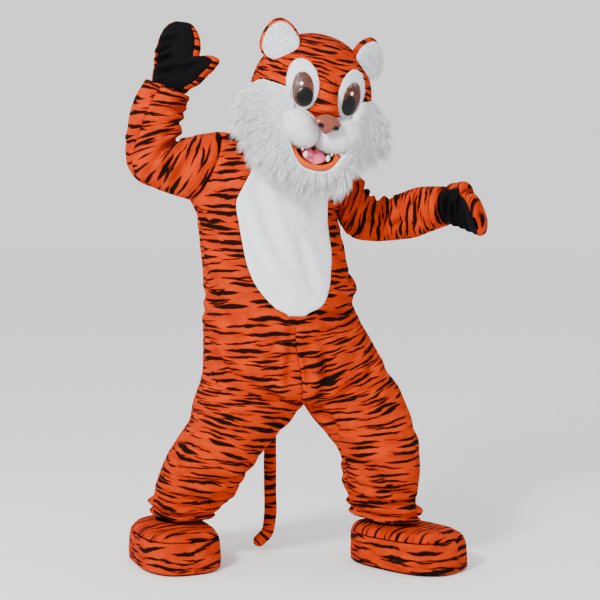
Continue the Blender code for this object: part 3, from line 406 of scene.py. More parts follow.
def neck_point(angle):
    """A point of the neckline. 0 degrees is its front, 90 the wearer's left."""
    turned = math.radians(angle)
    point = NECK + ahead(NECK_TURN) * (NECK_DEEP * math.cos(turned))
    point += across(NECK_TURN, NECK_TILT) * (NECK_ACROSS * math.sin(turned))
    point.z -= 0.030 * max(0.0, math.cos(turned)) ** 2
    return point


def chest_seam(facing):
    """The centre seam from the armpits' height up to the neckline."""
    height, middle, _, front, back, dip, _, turn, _, _ = BODY[-1]
    deep = front if facing > 0 else back
    low = Vector((middle, 0.0, height - dip)) + ahead(turn) * facing * deep
    high = neck_point(0.0 if facing > 0 else 180.0)
    rise = high.z - low.z
    up = Vector((0.0, 0.0, rise * 0.55))
    over = ahead(NECK_TURN) * (facing * 0.075) - Vector((0.0, 0.0, rise * 0.12))
    return arc(low, up, over, high, (0.22, 0.40, 0.57, 0.77, 1.0))


def yoke_rows(side, facing):
    """A quarter of the chest or upper back, from the armpit's row to the shoulder seam."""
    sign = dict(SIDES)[side]
    edge = armhole(side)[0 if facing > 0 else 1]
    seam = chest_seam(facing)
    neck_from = 0.0 if facing > 0 else 180.0
    seam += [neck_point(sign * (neck_from + (90.0 - neck_from) * share)) for share in (0.5, 1.0)]
    rows = []
    for k, (start, end) in enumerate(zip(seam, edge)):
        gap = (end - start).length
        blend = k / PANEL_STEPS
        flat = (end - start) * 0.33
        start_pull = (across(NECK_TURN, 6.0) * (sign * gap * 0.45)).lerp(flat, blend**2)
        round_pull = ahead(NECK_TURN) * (facing * gap * 0.36)
        round_pull -= across(NECK_TURN) * (sign * gap * 0.10)
        end_pull = round_pull.lerp(-flat, min(1.0, blend * 1.15))
        split = shares(CHEST_BELLY + (0.5 - CHEST_BELLY) * blend) if facing > 0 else EVEN
        rows.append(arc(start, start_pull, end_pull, end, split))
    return rows


def sleeve_rows(side):
    """Rings of a sleeve from the armhole to the wrist: up its front, then down its back."""
    front, back = armhole(side)
    rings = [front + back[-2::-1]]
    for up_x, up_z, under_x, under_z, y, deep, roll, turn in SLEEVE[side]:
        under, upper = Vector((under_x, y, under_z)), Vector((up_x, y, up_z))
        middle, half = (under + upper) / 2, (upper - under) / 2
        ring = []
        for k in range(2 * PANEL_STEPS + 1):
            angle = math.pi * (k % (2 * PANEL_STEPS)) / PANEL_STEPS + math.radians(roll)
            ring.append(middle - half * math.cos(angle) + ahead(turn) * (deep * math.sin(angle)))
        rings.append(ring)
    return rings


def mitten_point(side, row, facing, way):
    """A point of a mitten's palm, for facing 1, or back, for -1. way: 0 at its outer seam, 1 at
    its thumb's. The back wraps round the edges to the palm's side, -y."""
    along, outer, thumb, thick = row
    wrap = facing * math.radians(PALM_INSET)
    angle = wrap + (math.pi - 2.0 * wrap) * way
    share = -math.cos(angle)
    spread = 1.0 + (CUFF_WIDE[side] - 1.0) * max(0.0, 1.0 - along / CUFF_FADE)
    outer *= spread
    thumb = min(thumb, PALM_EDGE) * spread + max(0.0, thumb - PALM_EDGE) * THUMB_REACH[side]
    x = (outer + thumb) / 2 + share * (thumb - outer) / 2
    rise = THUMB_RISE[side] * (1.0 if row[2] > THUMB_ROW else 0.4)
    along += rise * max(0.0, x - THUMB_FROM)
    half = thick * math.sqrt(max(0.0, 1.0 - abs(share) ** 2.4))
    y = -facing * math.copysign(half, math.sin(angle))
    if along <= CURL_FROM:
        return Vector((x, y, along))
    radius = (MITTEN[-1][0] - CURL_FROM) / math.radians(MITTEN_CURL[side])
    curl = (along - CURL_FROM) / radius
    reach = radius + y
    return Vector((x, reach * math.cos(curl) - radius, CURL_FROM + reach * math.sin(curl)))


def mitten_frame(side):
    """The wrist, then the ways of the thumb, the back of the hand and the fingers."""
    if side == "right":
        wrist = Vector((-0.433, -0.062, 1.616))
        fingers, thumb = Vector((0.20, 0.02, 0.98)), Vector((0.90, -0.42, -0.17))
    else:
        wrist = Vector((0.487, -0.030, 1.231))
        fingers, thumb = Vector((0.72, -0.68, -0.03)), Vector((-0.20, -0.50, 0.84))
    fingers.normalize()
    thumb = (thumb - fingers * thumb.dot(fingers)).normalized()
    palm = thumb.cross(fingers) if side == "right" else fingers.cross(thumb)
    return wrist, thumb, -palm, fingers


def boot_outline(side, reach, height):
    """A ring of the boot: reach 1 is its widest outline and 0 is the ankle opening."""
    ring = []
    ankle_x, ankle_y = BOOT_ANKLE_AT[side]
    for k in range(BOOT_STEPS):
        angle = math.tau * k / BOOT_STEPS
        c, s = math.cos(angle), math.sin(angle)
        length = math.copysign(abs(c) ** BOOT_ROUND, c) * BOOT_LENGTH / 2
        width = math.copysign(abs(s) ** BOOT_ROUND, s) * BOOT_WIDTH / 2
        width *= 1.0 - BOOT_TAPER * (0.5 - length / BOOT_LENGTH)
        outside = Vector((width, -length, height))
        hole = Vector((ankle_x + BOOT_ANKLE[1] * s, ankle_y - BOOT_ANKLE[0] * c, height))
        ring.append(hole.lerp(outside, reach))
    return ring + ring[:1]


def skull_point(turn, rise, lift=0.0):
    """A point of the skull, lift above it. turn: degrees from straight ahead. rise: degrees up."""
    t, r = math.radians(turn), math.radians(rise)
    way = Vector((math.sin(t) * math.cos(r), -math.cos(t) * math.cos(r), math.sin(r)))
    reach = 1.0 / Vector((way.x / SKULL.x, way.y / SKULL.y, way.z / SKULL.z)).length
    return way * (reach + lift)


def skull_front(x, z):
    """y of the skull's front at this place, or of its middle beyond its outline."""
    left = 1.0 - (x / SKULL.x) ** 2 - (z / SKULL.z) ** 2
    return -SKULL.y * math.sqrt(max(0.0, left))


def mouth_edge(share):
    """The mouth's edge, a U from its right corner to its left one."""
    angle = math.pi * share
    x = -MOUTH_HALF * math.cos(angle)
    drop = math.sin(angle) ** 0.8
    z = MOUTH_TOP + (MOUTH_BOTTOM - MOUTH_TOP) * drop
    return Vector((x, -0.184 - 0.048 * drop, z))


# Shapes: refined grids, cloth shells and solids


def refined(rows, counts, breaks=None):
    """The rows with more between them, smooth along each column.

    breaks: row number to how smooth each column is there, from 0, a corner, to 1.
    """
    grid = np.array([[tuple(p) for p in row] for row in rows])
    steps = np.diff(grid, axis=0)
    lengths = np.maximum(np.linalg.norm(steps, axis=2, keepdims=True), 1e-6)
    slopes = steps / lengths
    smooth = np.empty_like(grid)
    smooth[0], smooth[-1] = slopes[0], slopes[-1]
    before, after = lengths[:-1], lengths[1:]
    smooth[1:-1] = (slopes[:-1] * after + slopes[1:] * before) / (before + after)
    leaving, arriving = smooth.copy(), smooth.copy()
    for row, share in (breaks or {}).items():
        share = np.array(share)[:, None]
        leaving[row] = slopes[row] * (1 - share) + smooth[row] * share
        arriving[row] = slopes[row - 1] * (1 - share) + smooth[row] * share
    made = []
    for i, count in enumerate(counts):
        for k in range(count):
            t = k / count
            made.append(
                grid[i] * (2 * t**3 - 3 * t**2 + 1)
                + leaving[i] * lengths[i] * (t**3 - 2 * t**2 + t)
                + grid[i + 1] * (3 * t**2 - 2 * t**3)
                + arriving[i + 1] * lengths[i] * (t**3 - t**2)
            )
    made.append(grid[-1])
    return np.array(made)


def cloth_metres(grid, middle=0):
    """Where a grid's points lie on the flat cloth: across from the middle column, and along."""
    across_steps = np.linalg.norm(np.diff(grid, axis=1), axis=2)
    over = np.concatenate([np.zeros((len(grid), 1)), np.cumsum(across_steps, axis=1)], axis=1)
    over -= over[:, middle : middle + 1]
    along_steps = np.linalg.norm(np.diff(grid, axis=0), axis=2).mean(axis=1)
    along = np.concatenate([[0.0], np.cumsum(along_steps)])
    return np.stack([over, np.broadcast_to(along[:, None], over.shape)], axis=2)


def finish_mesh(name, points, faces, metres, material, smooth=True):
    """A mesh object in the row's frame. metres: where each face's corners lie on the flat cloth."""
    mesh = bpy.data.meshes.new(name)
    mesh.from_pydata((np.asarray(points) - np.array(NECK)).tolist(), [], faces)
    layer = mesh.uv_layers.new(name="metres")
    layer.data.foreach_set("uv", np.asarray(metres, dtype=np.float32).ravel())
    mesh.polygons.foreach_set("use_smooth", [smooth] * len(mesh.polygons))
    mesh.materials.append(material)
    mesh.update()
    made = bpy.data.objects.new(name + "_look", mesh)
    bpy.context.scene.collection.objects.link(made)
    return made


class Cloth:
    """Panels that share the points of their seams, so that folds run on across a seam."""

    def __init__(self):
        self.points = []
        self.index = {}
        self.panels = {}

    def at(self, point):
        key = tuple(int(round(c * 1e4)) for c in point)
        if key not in self.index:
            self.index[key] = len(self.points)
            self.points.append(tuple(point))
        return self.index[key]

    def add(self, name, grid, metres, cells=None, flip=False):
        """The cells (row, column) of a grid become faces of the panel."""
        ids = [[self.at(point) for point in row] for row in grid]
        faces, flats = self.panels.setdefault(name, ([], []))
        if cells is None:
            cells = [(i, j) for i in range(len(grid) - 1) for j in range(len(grid[0]) - 1)]
        for i, j in cells:
            corners = [(i, j), (i, j + 1), (i + 1, j + 1), (i + 1, j)]
            if flip:
                corners.reverse()
            faces.append([ids[a][b] for a, b in corners])
            flats.append([metres[a][b] for a, b in corners])

    def settle(self):
        """Turn the lists into arrays, work out the normals and find the seams."""
        self.points = np.array(self.points)
        self.panels = {n: (np.array(f), np.array(m)) for n, (f, m) in self.panels.items()}
        self.normals = self.find_normals()
        self.borders = {}
        for name, (faces, _) in self.panels.items():
            edges = np.stack([faces, np.roll(faces, -1, axis=1)], axis=2).reshape(-1, 2)
            edges = [tuple(edge) for edge in edges.tolist() if edge[0] != edge[1]]
            known = set(edges)
            self.borders[name] = [edge for edge in edges if edge[::-1] not in known]

    def find_normals(self):
        sums = np.zeros_like(self.points)
        for faces, _ in self.panels.values():
            a, b, c, d = (self.points[faces[:, k]] for k in range(4))
            normal = np.cross(c - a, d - b)
            for k in range(4):
                np.add.at(sums, faces[:, k], normal)
        return sums / np.maximum(np.linalg.norm(sums, axis=1, keepdims=True), 1e-12)

    def push(self, amount):
        """Move every point out along its normal."""
        self.points = self.points + self.normals * amount[:, None]
        self.normals = self.find_normals()

    def seam_distance(self):
        seams = sorted({k for edges in self.borders.values() for edge in edges for k in edge})
        tree = kdtree.KDTree(len(seams))
        for n, k in enumerate(seams):
            tree.insert(self.points[k], n)
        tree.balance()
        return np.array([tree.find(point)[2] for point in self.points])

    def piece(self, name, material, thick):
        """The panel as a shell with a mitred edge."""
        faces, metres = self.panels[name]
        used, local = np.unique(faces, return_inverse=True)
        local = local.reshape(faces.shape)
        place = {k: n for n, k in enumerate(used.tolist())}
        outer, normals = self.points[used].copy(), self.normals[used]
        inward = np.zeros_like(outer)
        edges = np.array([(place[a], place[b]) for a, b in self.borders[name]])
        run = outer[edges[:, 1]] - outer[edges[:, 0]]
        for end in (0, 1):
            step = np.cross(normals[edges[:, end]], run)
            np.add.at(inward, edges[:, end], step)
        outer += inward / np.maximum(np.linalg.norm(inward, axis=1, keepdims=True), 1e-9) * SEAM
        points = np.concatenate([outer, outer - normals * thick])
        count = len(used)
        corner_place = {}
        made, flats = [], []
        for face, flat in zip(local.tolist(), metres.tolist()):
            keep = [k for k in range(4) if face[k] != face[k - 1]]
            for k in keep:
                corner_place[face[k]] = flat[k]
            made.append([face[k] for k in keep])
            flats += [flat[k] for k in keep]
            made.append([face[k] + count for k in reversed(keep)])
            flats += [flat[k] for k in reversed(keep)]
        for a, b in edges.tolist():
            made.append([b, a, a + count, b + count])
            flats += [corner_place[b], corner_place[a], corner_place[a], corner_place[b]]
        return finish_mesh(name, points, made, flats, material)

    def seam_dip(self, depth, width):
        """How far the cloth sinks toward its seams."""
        return -depth * np.exp(-((self.seam_distance() / width) ** 2))

    def unevenness(self, waves, height, shift=0.0):
        """Soft lumps: waves to the metre, and their height."""
        shift = Vector((0.0, 0.0, shift))
        return height * np.array([noise.noise(Vector(p) * waves + shift) for p in self.points])


def ringed(name, rings, material, matrix=None, smooth=True):
    """A closed solid through rings of points, with its ends closed by fans."""
    rings = np.array([[tuple(p) for p in ring] for ring in rings])
    if matrix is not None:
        turned = np.array(matrix)
        rings = rings @ turned[:3, :3].T + turned[:3, 3]
    rows, count = rings.shape[:2]
    looped = np.concatenate([rings, rings[:, :1]], axis=1)
    metres = cloth_metres(looped)
    points = rings.reshape(-1, 3).tolist()
    points += [rings[0].mean(axis=0).tolist(), rings[-1].mean(axis=0).tolist()]
    first, last = len(points) - 2, len(points) - 1
    faces, flats = [], []
    for j in range(count):
        after = (j + 1) % count
        for i in range(rows - 1):
            near, far = i * count, (i + 1) * count
            faces.append([near + j, near + after, far + after, far + j])
            flats += [metres[i, j], metres[i, j + 1], metres[i + 1, j + 1], metres[i + 1, j]]
        faces.append([first, after, j])
        flats += [metres[0, j], metres[0, j + 1], metres[0, j]]
        end = (rows - 1) * count
        faces.append([last, end + j, end + after])
        flats += [metres[-1, j], metres[-1, j], metres[-1, j + 1]]
    a, b, c, d = (rings[:-1], looped[:-1, 1:], looped[1:, 1:], rings[1:])
    centre = rings.reshape(-1, 3).mean(axis=0)
    out = (np.cross(c - a, d - b) * ((a + c) / 2 - centre)).sum()
    if out < 0:
        faces = [face[::-1] for face in faces]
        flipped = []
        place = 0
        for face in faces:
            flipped += flats[place : place + len(face)][::-1]
            place += len(face)
        flats = flipped
    return finish_mesh(name, points, faces, flats, material, smooth)


# Folds, listed one by one. Each runs through (row, column) of its grid in the tables: rows count up
# from the hem, or from the armhole along a sleeve, and columns out from the centre or inner seam,
# or round a sleeve from its under side over the front to the top, 6, and down the back.
FOLDS = {
    # depth and width in millimetres, then the points
    "front_right": (
        (8, 20, (11.3, 0.5), (12.2, 1.8), (13.0, 3.4), (13.7, 5.0)),
        (6, 16, (14.8, 5.8), (14.0, 4.9), (12.8, 4.0), (12.1, 3.4)),
        (6, 16, (12.0, 0.5), (13.6, 0.8), (15.4, 0.7), (16.6, 1.1)),
        (4, 18, (13.2, 1.8), (14.6, 2.4), (16.2, 2.2)),
        (6, 18, (10.8, 0.3), (9.9, 1.6), (9.4, 3.2)),
        (5, 20, (9.7, 0.3), (8.9, 1.8), (8.6, 3.4), (8.8, 4.8)),
        (7, 16, (8.3, 0.2), (7.6, 1.4), (7.2, 2.9)),
        (9, 15, (7.4, 0.1), (6.6, 1.3), (6.0, 2.7), (5.9, 4.0)),
        (8, 14, (6.6, 0.1), (5.7, 1.2), (5.2, 2.4)),
        (6, 15, (7.4, 5.9), (6.7, 4.9), (6.4, 3.9)),
        (10, 12, (5.0, 0.2), (4.5, 1.6), (4.6, 3.2), (4.9, 4.8)),
        (9, 10, (3.7, 1.0), (3.2, 2.2), (3.4, 3.6), (4.0, 5.2)),
        (8, 9, (2.6, 2.8), (1.8, 3.6), (1.5, 4.4)),
        (6, 16, (17.8, 6.0), (17.2, 5.0), (17.0, 3.9)),
        (5, 18, (20.0, 6.0), (19.2, 4.9), (18.9, 4.0)),
        (6, 18, (23.9, 5.9), (22.7, 5.1), (21.4, 4.5)),
        (6, 14, (24.8, 5.7), (24.3, 4.8), (24.1, 3.9)),
        (5, 14, (27.0, 5.8), (26.0, 4.8), (25.4, 4.0)),
        (6, 26, (26.6, 2.6), (24.6, 1.9), (22.6, 1.1), (21.0, 0.3)),
        (5, 22, (23.8, 2.8), (22.0, 2.3), (20.4, 1.5), (19.2, 0.7)),
        (3, 18, (25.4, 0.8), (24.0, 0.4)),
    ),
    "front_left": (
        (6, 26, (26.8, 0.3), (25.0, 0.9), (23.2, 1.9)),
        (5, 22, (22.8, 0.4), (21.0, 1.0), (19.4, 2.0)),
        (14, 17, (17.2, 6.0), (16.7, 5.0), (16.7, 4.0), (17.0, 3.1)),
        (8, 13, (18.4, 6.0), (17.9, 5.1), (17.9, 4.3)),
        (7, 14, (16.3, 5.9), (15.8, 4.8), (15.9, 3.8)),
        (9, 22, (11.5, 0.5), (12.6, 1.1), (14.0, 1.9), (15.6, 3.2)),
        (7, 18, (11.4, 1.0), (12.0, 2.5), (12.8, 4.0), (13.8, 5.3)),
        (5, 14, (12.0, 0.4), (13.4, 0.5), (15.0, 0.8)),
        (10, 15, (11.0, 0.3), (10.3, 1.0), (9.6, 1.0), (9.0, 0.5)),
        (6, 18, (10.4, 0.9), (10.2, 2.2), (10.5, 3.6)),
        (5, 20, (9.0, 5.9), (8.6, 4.6), (8.7, 3.4)),
        (6, 16, (7.6, 0.1), (7.2, 1.3), (7.4, 2.6)),
        (8, 15, (6.2, 0.2), (5.6, 1.4), (5.3, 2.9), (5.6, 4.4)),
        (11, 13, (5.0, 0.5), (4.6, 1.8), (4.3, 3.2), (4.7, 4.8)),
        (9, 10, (3.9, 2.0), (3.2, 3.0), (3.1, 4.2), (3.7, 5.6)),
        (10, 10, (2.8, 0.4), (2.2, 1.4), (1.7, 2.6)),
        (7, 14, (21.0, 6.0), (20.2, 5.2), (19.9, 4.5)),
        (7, 16, (23.8, 5.9), (22.8, 5.2), (21.8, 4.6)),
        (6, 14, (25.0, 5.8), (24.6, 4.9), (24.0, 4.1)),
        (5, 14, (27.6, 5.9), (26.8, 5.0), (26.4, 4.2)),
    ),
    "back_right": (
        (9, 20, (11.4, 0.6), (11.2, 2.2), (11.5, 3.8), (12.3, 5.2)),
        (6, 18, (10.5, 0.5), (10.2, 2.0), (10.4, 3.6)),
        (7, 18, (12.4, 0.3), (13.4, 1.4), (13.8, 2.8)),
        (9, 14, (7.8, 0.3), (7.2, 1.8), (7.3, 3.4), (7.9, 5.0)),
        (8, 13, (6.8, 0.4), (6.3, 2.0), (6.5, 3.8)),
        (7, 14, (8.8, 1.0), (8.3, 2.4), (8.6, 4.2)),
        (10, 12, (5.2, 0.4), (4.7, 2.0), (4.9, 4.0), (5.3, 5.6)),
        (9, 10, (3.6, 0.8), (3.1, 2.6), (3.5, 4.6)),
        (8, 17, (17.9, 5.9), (17.3, 4.6), (17.5, 3.0), (17.2, 1.4)),
        (6, 16, (16.4, 5.8), (16.0, 4.2), (16.3, 2.6)),
        (6, 18, (23.8, 5.9), (22.4, 4.8), (21.0, 4.0)),
        (6, 15, (26.2, 5.6), (25.6, 4.2), (25.6, 2.8)),
    ),
    "back_left": (
        (9, 20, (11.3, 0.5), (11.3, 2.0), (11.9, 3.6), (12.6, 5.0)),
        (6, 18, (10.3, 0.6), (10.4, 2.2), (10.8, 3.8)),
        (6, 18, (12.6, 0.4), (13.2, 1.8), (13.3, 3.2)),
        (9, 14, (7.4, 0.4), (7.0, 2.0), (7.2, 3.8), (7.6, 5.4)),
        (8, 13, (6.2, 0.3), (5.9, 1.8), (6.2, 3.4)),
        (10, 12, (5.1, 0.6), (4.6, 2.2), (4.8, 4.2)),
        (9, 10, (3.5, 1.4), (3.0, 3.0), (3.6, 5.0)),
        (11, 17, (17.0, 5.9), (16.6, 4.6), (17.0, 3.2), (16.8, 1.6)),
        (7, 15, (18.4, 5.9), (18.0, 4.8), (18.3, 3.6)),
        (6, 18, (23.6, 5.9), (22.2, 4.9), (20.8, 4.2)),
        (6, 15, (26.4, 5.6), (25.8, 4.4), (26.0, 3.0)),
    ),
    "sleeve_left": (
        (8, 14, (0.7, 1.0), (1.1, 2.6), (0.9, 4.4)),
        (8, 14, (2.0, 0.6), (1.9, 2.2), (2.3, 3.8), (2.6, 5.0)),
        (11, 14, (3.0, 0.4), (2.9, 1.8), (3.2, 3.2), (3.1, 4.8)),
        (9, 12, (3.7, 0.9), (4.0, 2.4), (3.8, 3.8), (3.9, 5.4)),
        (10, 12, (4.7, 0.5), (4.6, 2.0), (5.0, 3.4), (4.9, 5.2)),
        (8, 11, (5.5, 0.8), (5.8, 2.4), (5.5, 4.0)),
        (9, 11, (6.4, 0.7), (6.2, 2.0), (6.6, 3.6), (6.6, 5.2)),
        (6, 11, (7.3, 1.2), (7.5, 2.8), (7.3, 4.4)),
        (5, 10, (8.2, 0.8), (8.0, 2.6), (8.3, 4.2)),
        (9, 10, (2.5, 4.6), (2.4, 6.2), (2.6, 7.6)),
        (9, 9, (3.5, 4.8), (3.4, 6.2), (3.6, 7.4)),
        (8, 9, (4.4, 4.6), (4.3, 6.0), (4.5, 7.4)),
        (8, 9, (5.3, 4.9), (5.2, 6.1), (5.4, 7.5)),
        (10, 10, (3.3, 2.4), (3.9, 2.9), (4.5, 2.2)),
        (9, 9, (5.2, 1.6), (5.7, 2.3), (6.2, 1.8)),
        (8, 13, (2.8, 7.2), (3.0, 8.8), (2.8, 10.4)),
        (8, 13, (4.0, 7.0), (3.8, 8.6), (4.1, 10.6)),
        (8, 12, (5.2, 7.4), (5.4, 9.2), (5.1, 11.0)),
        (7, 12, (6.4, 7.2), (6.2, 9.0), (6.5, 10.6)),
    ),
    "sleeve_right": (
        (10, 14, (0.9, 0.6), (1.1, 2.0), (0.8, 3.6), (0.9, 5.0)),
        (9, 13, (1.7, 0.8), (1.9, 2.4), (1.6, 4.0), (1.8, 5.6)),
        (11, 13, (2.6, 1.0), (2.9, 2.6), (2.9, 4.2), (3.2, 5.6)),
        (11, 13, (3.5, 1.6), (3.7, 3.0), (3.9, 4.4), (4.1, 5.6)),
        (8, 13, (4.6, 1.0), (4.7, 2.6), (4.8, 4.4)),
        (6, 12, (5.8, 2.0), (5.9, 3.6), (5.7, 5.0)),
        (8, 11, (7.0, 1.2), (7.2, 2.8), (7.0, 4.6)),
        (6, 11, (7.9, 0.6), (7.8, 2.2), (8.1, 3.8)),
        (9, 14, (2.8, 6.6), (2.6, 8.2), (2.9, 10.0)),
        (8, 13, (3.9, 6.8), (4.0, 8.6), (3.7, 10.4)),
        (7, 13, (5.2, 7.0), (5.0, 8.8), (5.3, 10.6)),
        (6, 13, (1.2, 7.4), (1.4, 9.0), (1.1, 10.6)),
    ),
}
FOLD_DEPTH = 1.9  # times the depths of the table
RIDGE = 0.50  # how high the cloth beside a fold stands, to the fold's depth
SLACK = ((11.0, 0.0030), (26.0, 0.0014))  # the cloth's unevenness: waves to the metre, and height
SEAM_DIP = (0.0030, 0.006)  # how far it sinks at a seam, and how near one


def on_grid(grid, row, column):
    """The point at a fractional row and column of a coarse grid."""
    i, j = min(int(row), len(grid) - 2), min(int(column), len(grid[0]) - 2)
    a, b = row - i, column - j
    low = Vector(grid[i][j]).lerp(Vector(grid[i][j + 1]), b)
    return np.array(low.lerp(Vector(grid[i + 1][j]).lerp(Vector(grid[i + 1][j + 1]), b), a))


def fold_push(points, normals, path, depth, width):
    """How far a fold moves each point out: a trough along the path, and a ridge to one side."""
    near = np.full(len(points), 9.0)
    signed = np.full(len(points), 9.0)
    along = np.zeros(len(points))
    total = sum(np.linalg.norm(b - a) for a, b in zip(path, path[1:]))
    gone = 0.0
    for a, b in zip(path, path[1:]):
        run = b - a
        length = np.linalg.norm(run)
        t = np.clip(((points - a) @ run) / length**2, 0.0, 1.0)
        off = points - (a + t[:, None] * run)
        distance = np.linalg.norm(off, axis=1)
        side = np.einsum("ij,ij->i", np.cross(np.broadcast_to(run, off.shape), off), normals)
        closer = distance < near
        near[closer] = distance[closer]
        signed[closer] = (np.sign(side) * distance)[closer]
        along[closer] = ((gone + t * length) / total)[closer]
        gone += length
    strength = np.sqrt(np.clip(np.sin(np.pi * along), 0.0, 1.0))
    strength *= np.exp(-((near / (4 * width)) ** 4))
    trough = -np.exp(-((signed / width) ** 2))
    ridge = RIDGE * np.exp(-(((signed - 1.7 * width) / width) ** 2))
    ridge += RIDGE * 0.5 * np.exp(-(((signed + 1.9 * width) / (1.3 * width)) ** 2))
    return FOLD_DEPTH * depth * strength * (trough + ridge)


def crease(cloth, grids):
    """Fold the cloth, make it a little uneven and sink its seams."""
    amount = np.zeros(len(cloth.points))
    for name, folds in FOLDS.items():
        for depth, width, *steps in folds:
            depth, width = depth / 1000, width / 1000
            path = [on_grid(grids[name], row, column) for row, column in steps]
            low, high = np.min(path, axis=0) - 4 * width, np.max(path, axis=0) + 4 * width
            box = np.all((cloth.points > low) & (cloth.points < high), axis=1)
            amount[box] += fold_push(cloth.points[box], cloth.normals[box], path, depth, width)
    for waves, height in SLACK:
        amount += cloth.unevenness(waves, height)
    amount += cloth.seam_dip(*SEAM_DIP)
    cloth.push(amount)


# Materials


def colour(code):
    """A six-digit sRGB code as linear red, green, blue and alpha."""
    values = [int(code[k : k + 2], 16) / 255 for k in (0, 2, 4)]
    linear = [v / 12.92 if v <= 0.04045 else ((v + 0.055) / 1.055) ** 2.4 for v in values]
    return (*linear, 1.0)


def node(tree, kind, inputs=(), **settings):
    """Add a shader node. An input is a number, a colour or another node's output."""
    made = tree.nodes.new("ShaderNode" + kind)
    for name, value in settings.items():
        setattr(made, name, value)
    for key, value in dict(inputs).items():
        if isinstance(value, bpy.types.NodeSocket):
            tree.links.new(value, made.inputs[key])
        else:
            made.inputs[key].default_value = value
    return made.outputs


def sum_of(tree, operation, *values):
    """One step of arithmetic."""
    return node(tree, "Math", dict(enumerate(values)), operation=operation)[0]


def noise_at(tree, where, scale, detail=2.0, stretch=None):
    """Noise from 0 to 1, this many waves to the metre."""
    if stretch:
        where = node(tree, "Mapping", {"Vector": where, "Scale": stretch})[0]
    return node(tree, "TexNoise", {"Vector": where, "Scale": scale, "Detail": detail})[0]


# Rows of tapered strokes. pitch: between rows. length: of a stroke's cell. thick: half a stroke's
# thickness. lift: how far the rows are raised. rare: share of the cells left empty.
STROKES = (
    # pitch, length, thick,  lift, rare, seed
    (0.050, 0.185, 0.0060, 0.000, 0.02, 1.0),
    (0.050, 0.165, 0.0056, 0.025, 0.04, 2.0),
    (0.034, 0.100, 0.0030, 0.011, 0.35, 3.0),
)
HEAD_STROKES = (
    (0.036, 0.170, 0.0052, 0.000, 0.03, 4.0),
    (0.036, 0.150, 0.0048, 0.018, 0.05, 5.0),
    (0.026, 0.090, 0.0026, 0.009, 0.35, 6.0),
)


def stroke_rows(tree, across_m, along_m, where, pitch, length, thick, lift, rare, seed):
    """How far a place is outside the nearest stroke of one set of rows, in metres."""
    height = sum_of(tree, "DIVIDE", sum_of(tree, "ADD", along_m, lift + 5.0), pitch)
    row = sum_of(tree, "FLOOR", height)
    up = sum_of(tree, "SUBTRACT", sum_of(tree, "FRACT", height), 0.5)
    up = sum_of(tree, "MULTIPLY", up, pitch)
    row_seed = sum_of(tree, "ADD", row, seed * 17.3)
    shift = node(tree, "TexWhiteNoise", {"W": row_seed}, noise_dimensions="1D")[0]
    place = sum_of(tree, "ADD", sum_of(tree, "DIVIDE", sum_of(tree, "ADD", across_m, 9.0), length),
                   sum_of(tree, "MULTIPLY", shift, 7.0))
    cell = sum_of(tree, "FLOOR", place)
    side = sum_of(tree, "SUBTRACT", sum_of(tree, "FRACT", place), 0.5)
    key = node(tree, "CombineXYZ", {0: row, 1: cell, 2: seed})[0]
    luck = node(tree, "SeparateColor", {0: node(tree, "TexWhiteNoise", {"Vector": key})[1]})
    share = sum_of(tree, "DIVIDE", side, sum_of(tree, "MULTIPLY_ADD", luck[0], 0.42, 0.60))
    taper = sum_of(tree, "SUBTRACT", 1.0, sum_of(tree, "POWER", sum_of(tree, "ABSOLUTE",
                   sum_of(tree, "MULTIPLY", share, 2.0)), 2.2))
    size = sum_of(tree, "MULTIPLY_ADD", luck[1], thick * 0.9, thick * 0.52)
    tilt = sum_of(tree, "MULTIPLY", sum_of(tree, "SUBTRACT", luck[1], 0.5),
                  sum_of(tree, "MULTIPLY", side, pitch * 0.55))
    middle = sum_of(tree, "MULTIPLY_ADD", luck[2], pitch * 0.34, -pitch * 0.17)
    wave = sum_of(tree, "MULTIPLY_ADD", noise_at(tree, where, 15.0 + seed, 1.0), 0.016, -0.008)
    centre = sum_of(tree, "ADD", sum_of(tree, "ADD", middle, tilt), wave)
    off = sum_of(tree, "ABSOLUTE", sum_of(tree, "SUBTRACT", up, centre))
    out = sum_of(tree, "SUBTRACT", off, sum_of(tree, "MULTIPLY", size, taper))
    empty = sum_of(tree, "LESS_THAN", node(tree, "TexWhiteNoise", {
        "Vector": node(tree, "CombineXYZ", {0: cell, 1: row, 2: seed + 40.0})[0]})[0], rare)
    return sum_of(tree, "ADD", out, empty)


def new_material(name):
    """A material with nodes: itself, its tree and its shader."""
    made = bpy.data.materials.new(name)
    made.use_nodes = True
    tree = made.node_tree
    return made, tree, tree.nodes["Principled BSDF"]


def plush_finish(tree, shader, where, base, sheen=0.05, nap=0.6):
    """Short pile: rough, with a soft rim of light and a fine nap."""
    tree.links.new(base, shader.inputs["Base Color"])
    shader.inputs["Roughness"].default_value = 0.92
    shader.inputs["Specular IOR Level"].default_value = 0.06
    shader.inputs["Sheen Weight"].default_value = sheen
    shader.inputs["Sheen Roughness"].default_value = 0.45
    tree.links.new(base, shader.inputs["Sheen Tint"])
    fine = noise_at(tree, where, 520.0, 3.0)
    broad = noise_at(tree, where, 60.0, 2.0)
    height = sum_of(tree, "MULTIPLY_ADD", broad, 1.6, fine)
    bump = node(tree, "Bump", {"Strength": nap, "Distance": 0.0024, "Height": height})[0]
    tree.links.new(bump, shader.inputs["Normal"])


def mixed(tree, share, first, second):
    """The first colour with a share of the second mixed in."""
    made = tree.nodes.new("ShaderNodeMix")
    made.data_type = "RGBA"
    for key, value in ((0, share), (6, first), (7, second)):
        if isinstance(value, bpy.types.NodeSocket):
            tree.links.new(value, made.inputs[key])
        else:
            made.inputs[key].default_value = value
    return made.outputs[2]


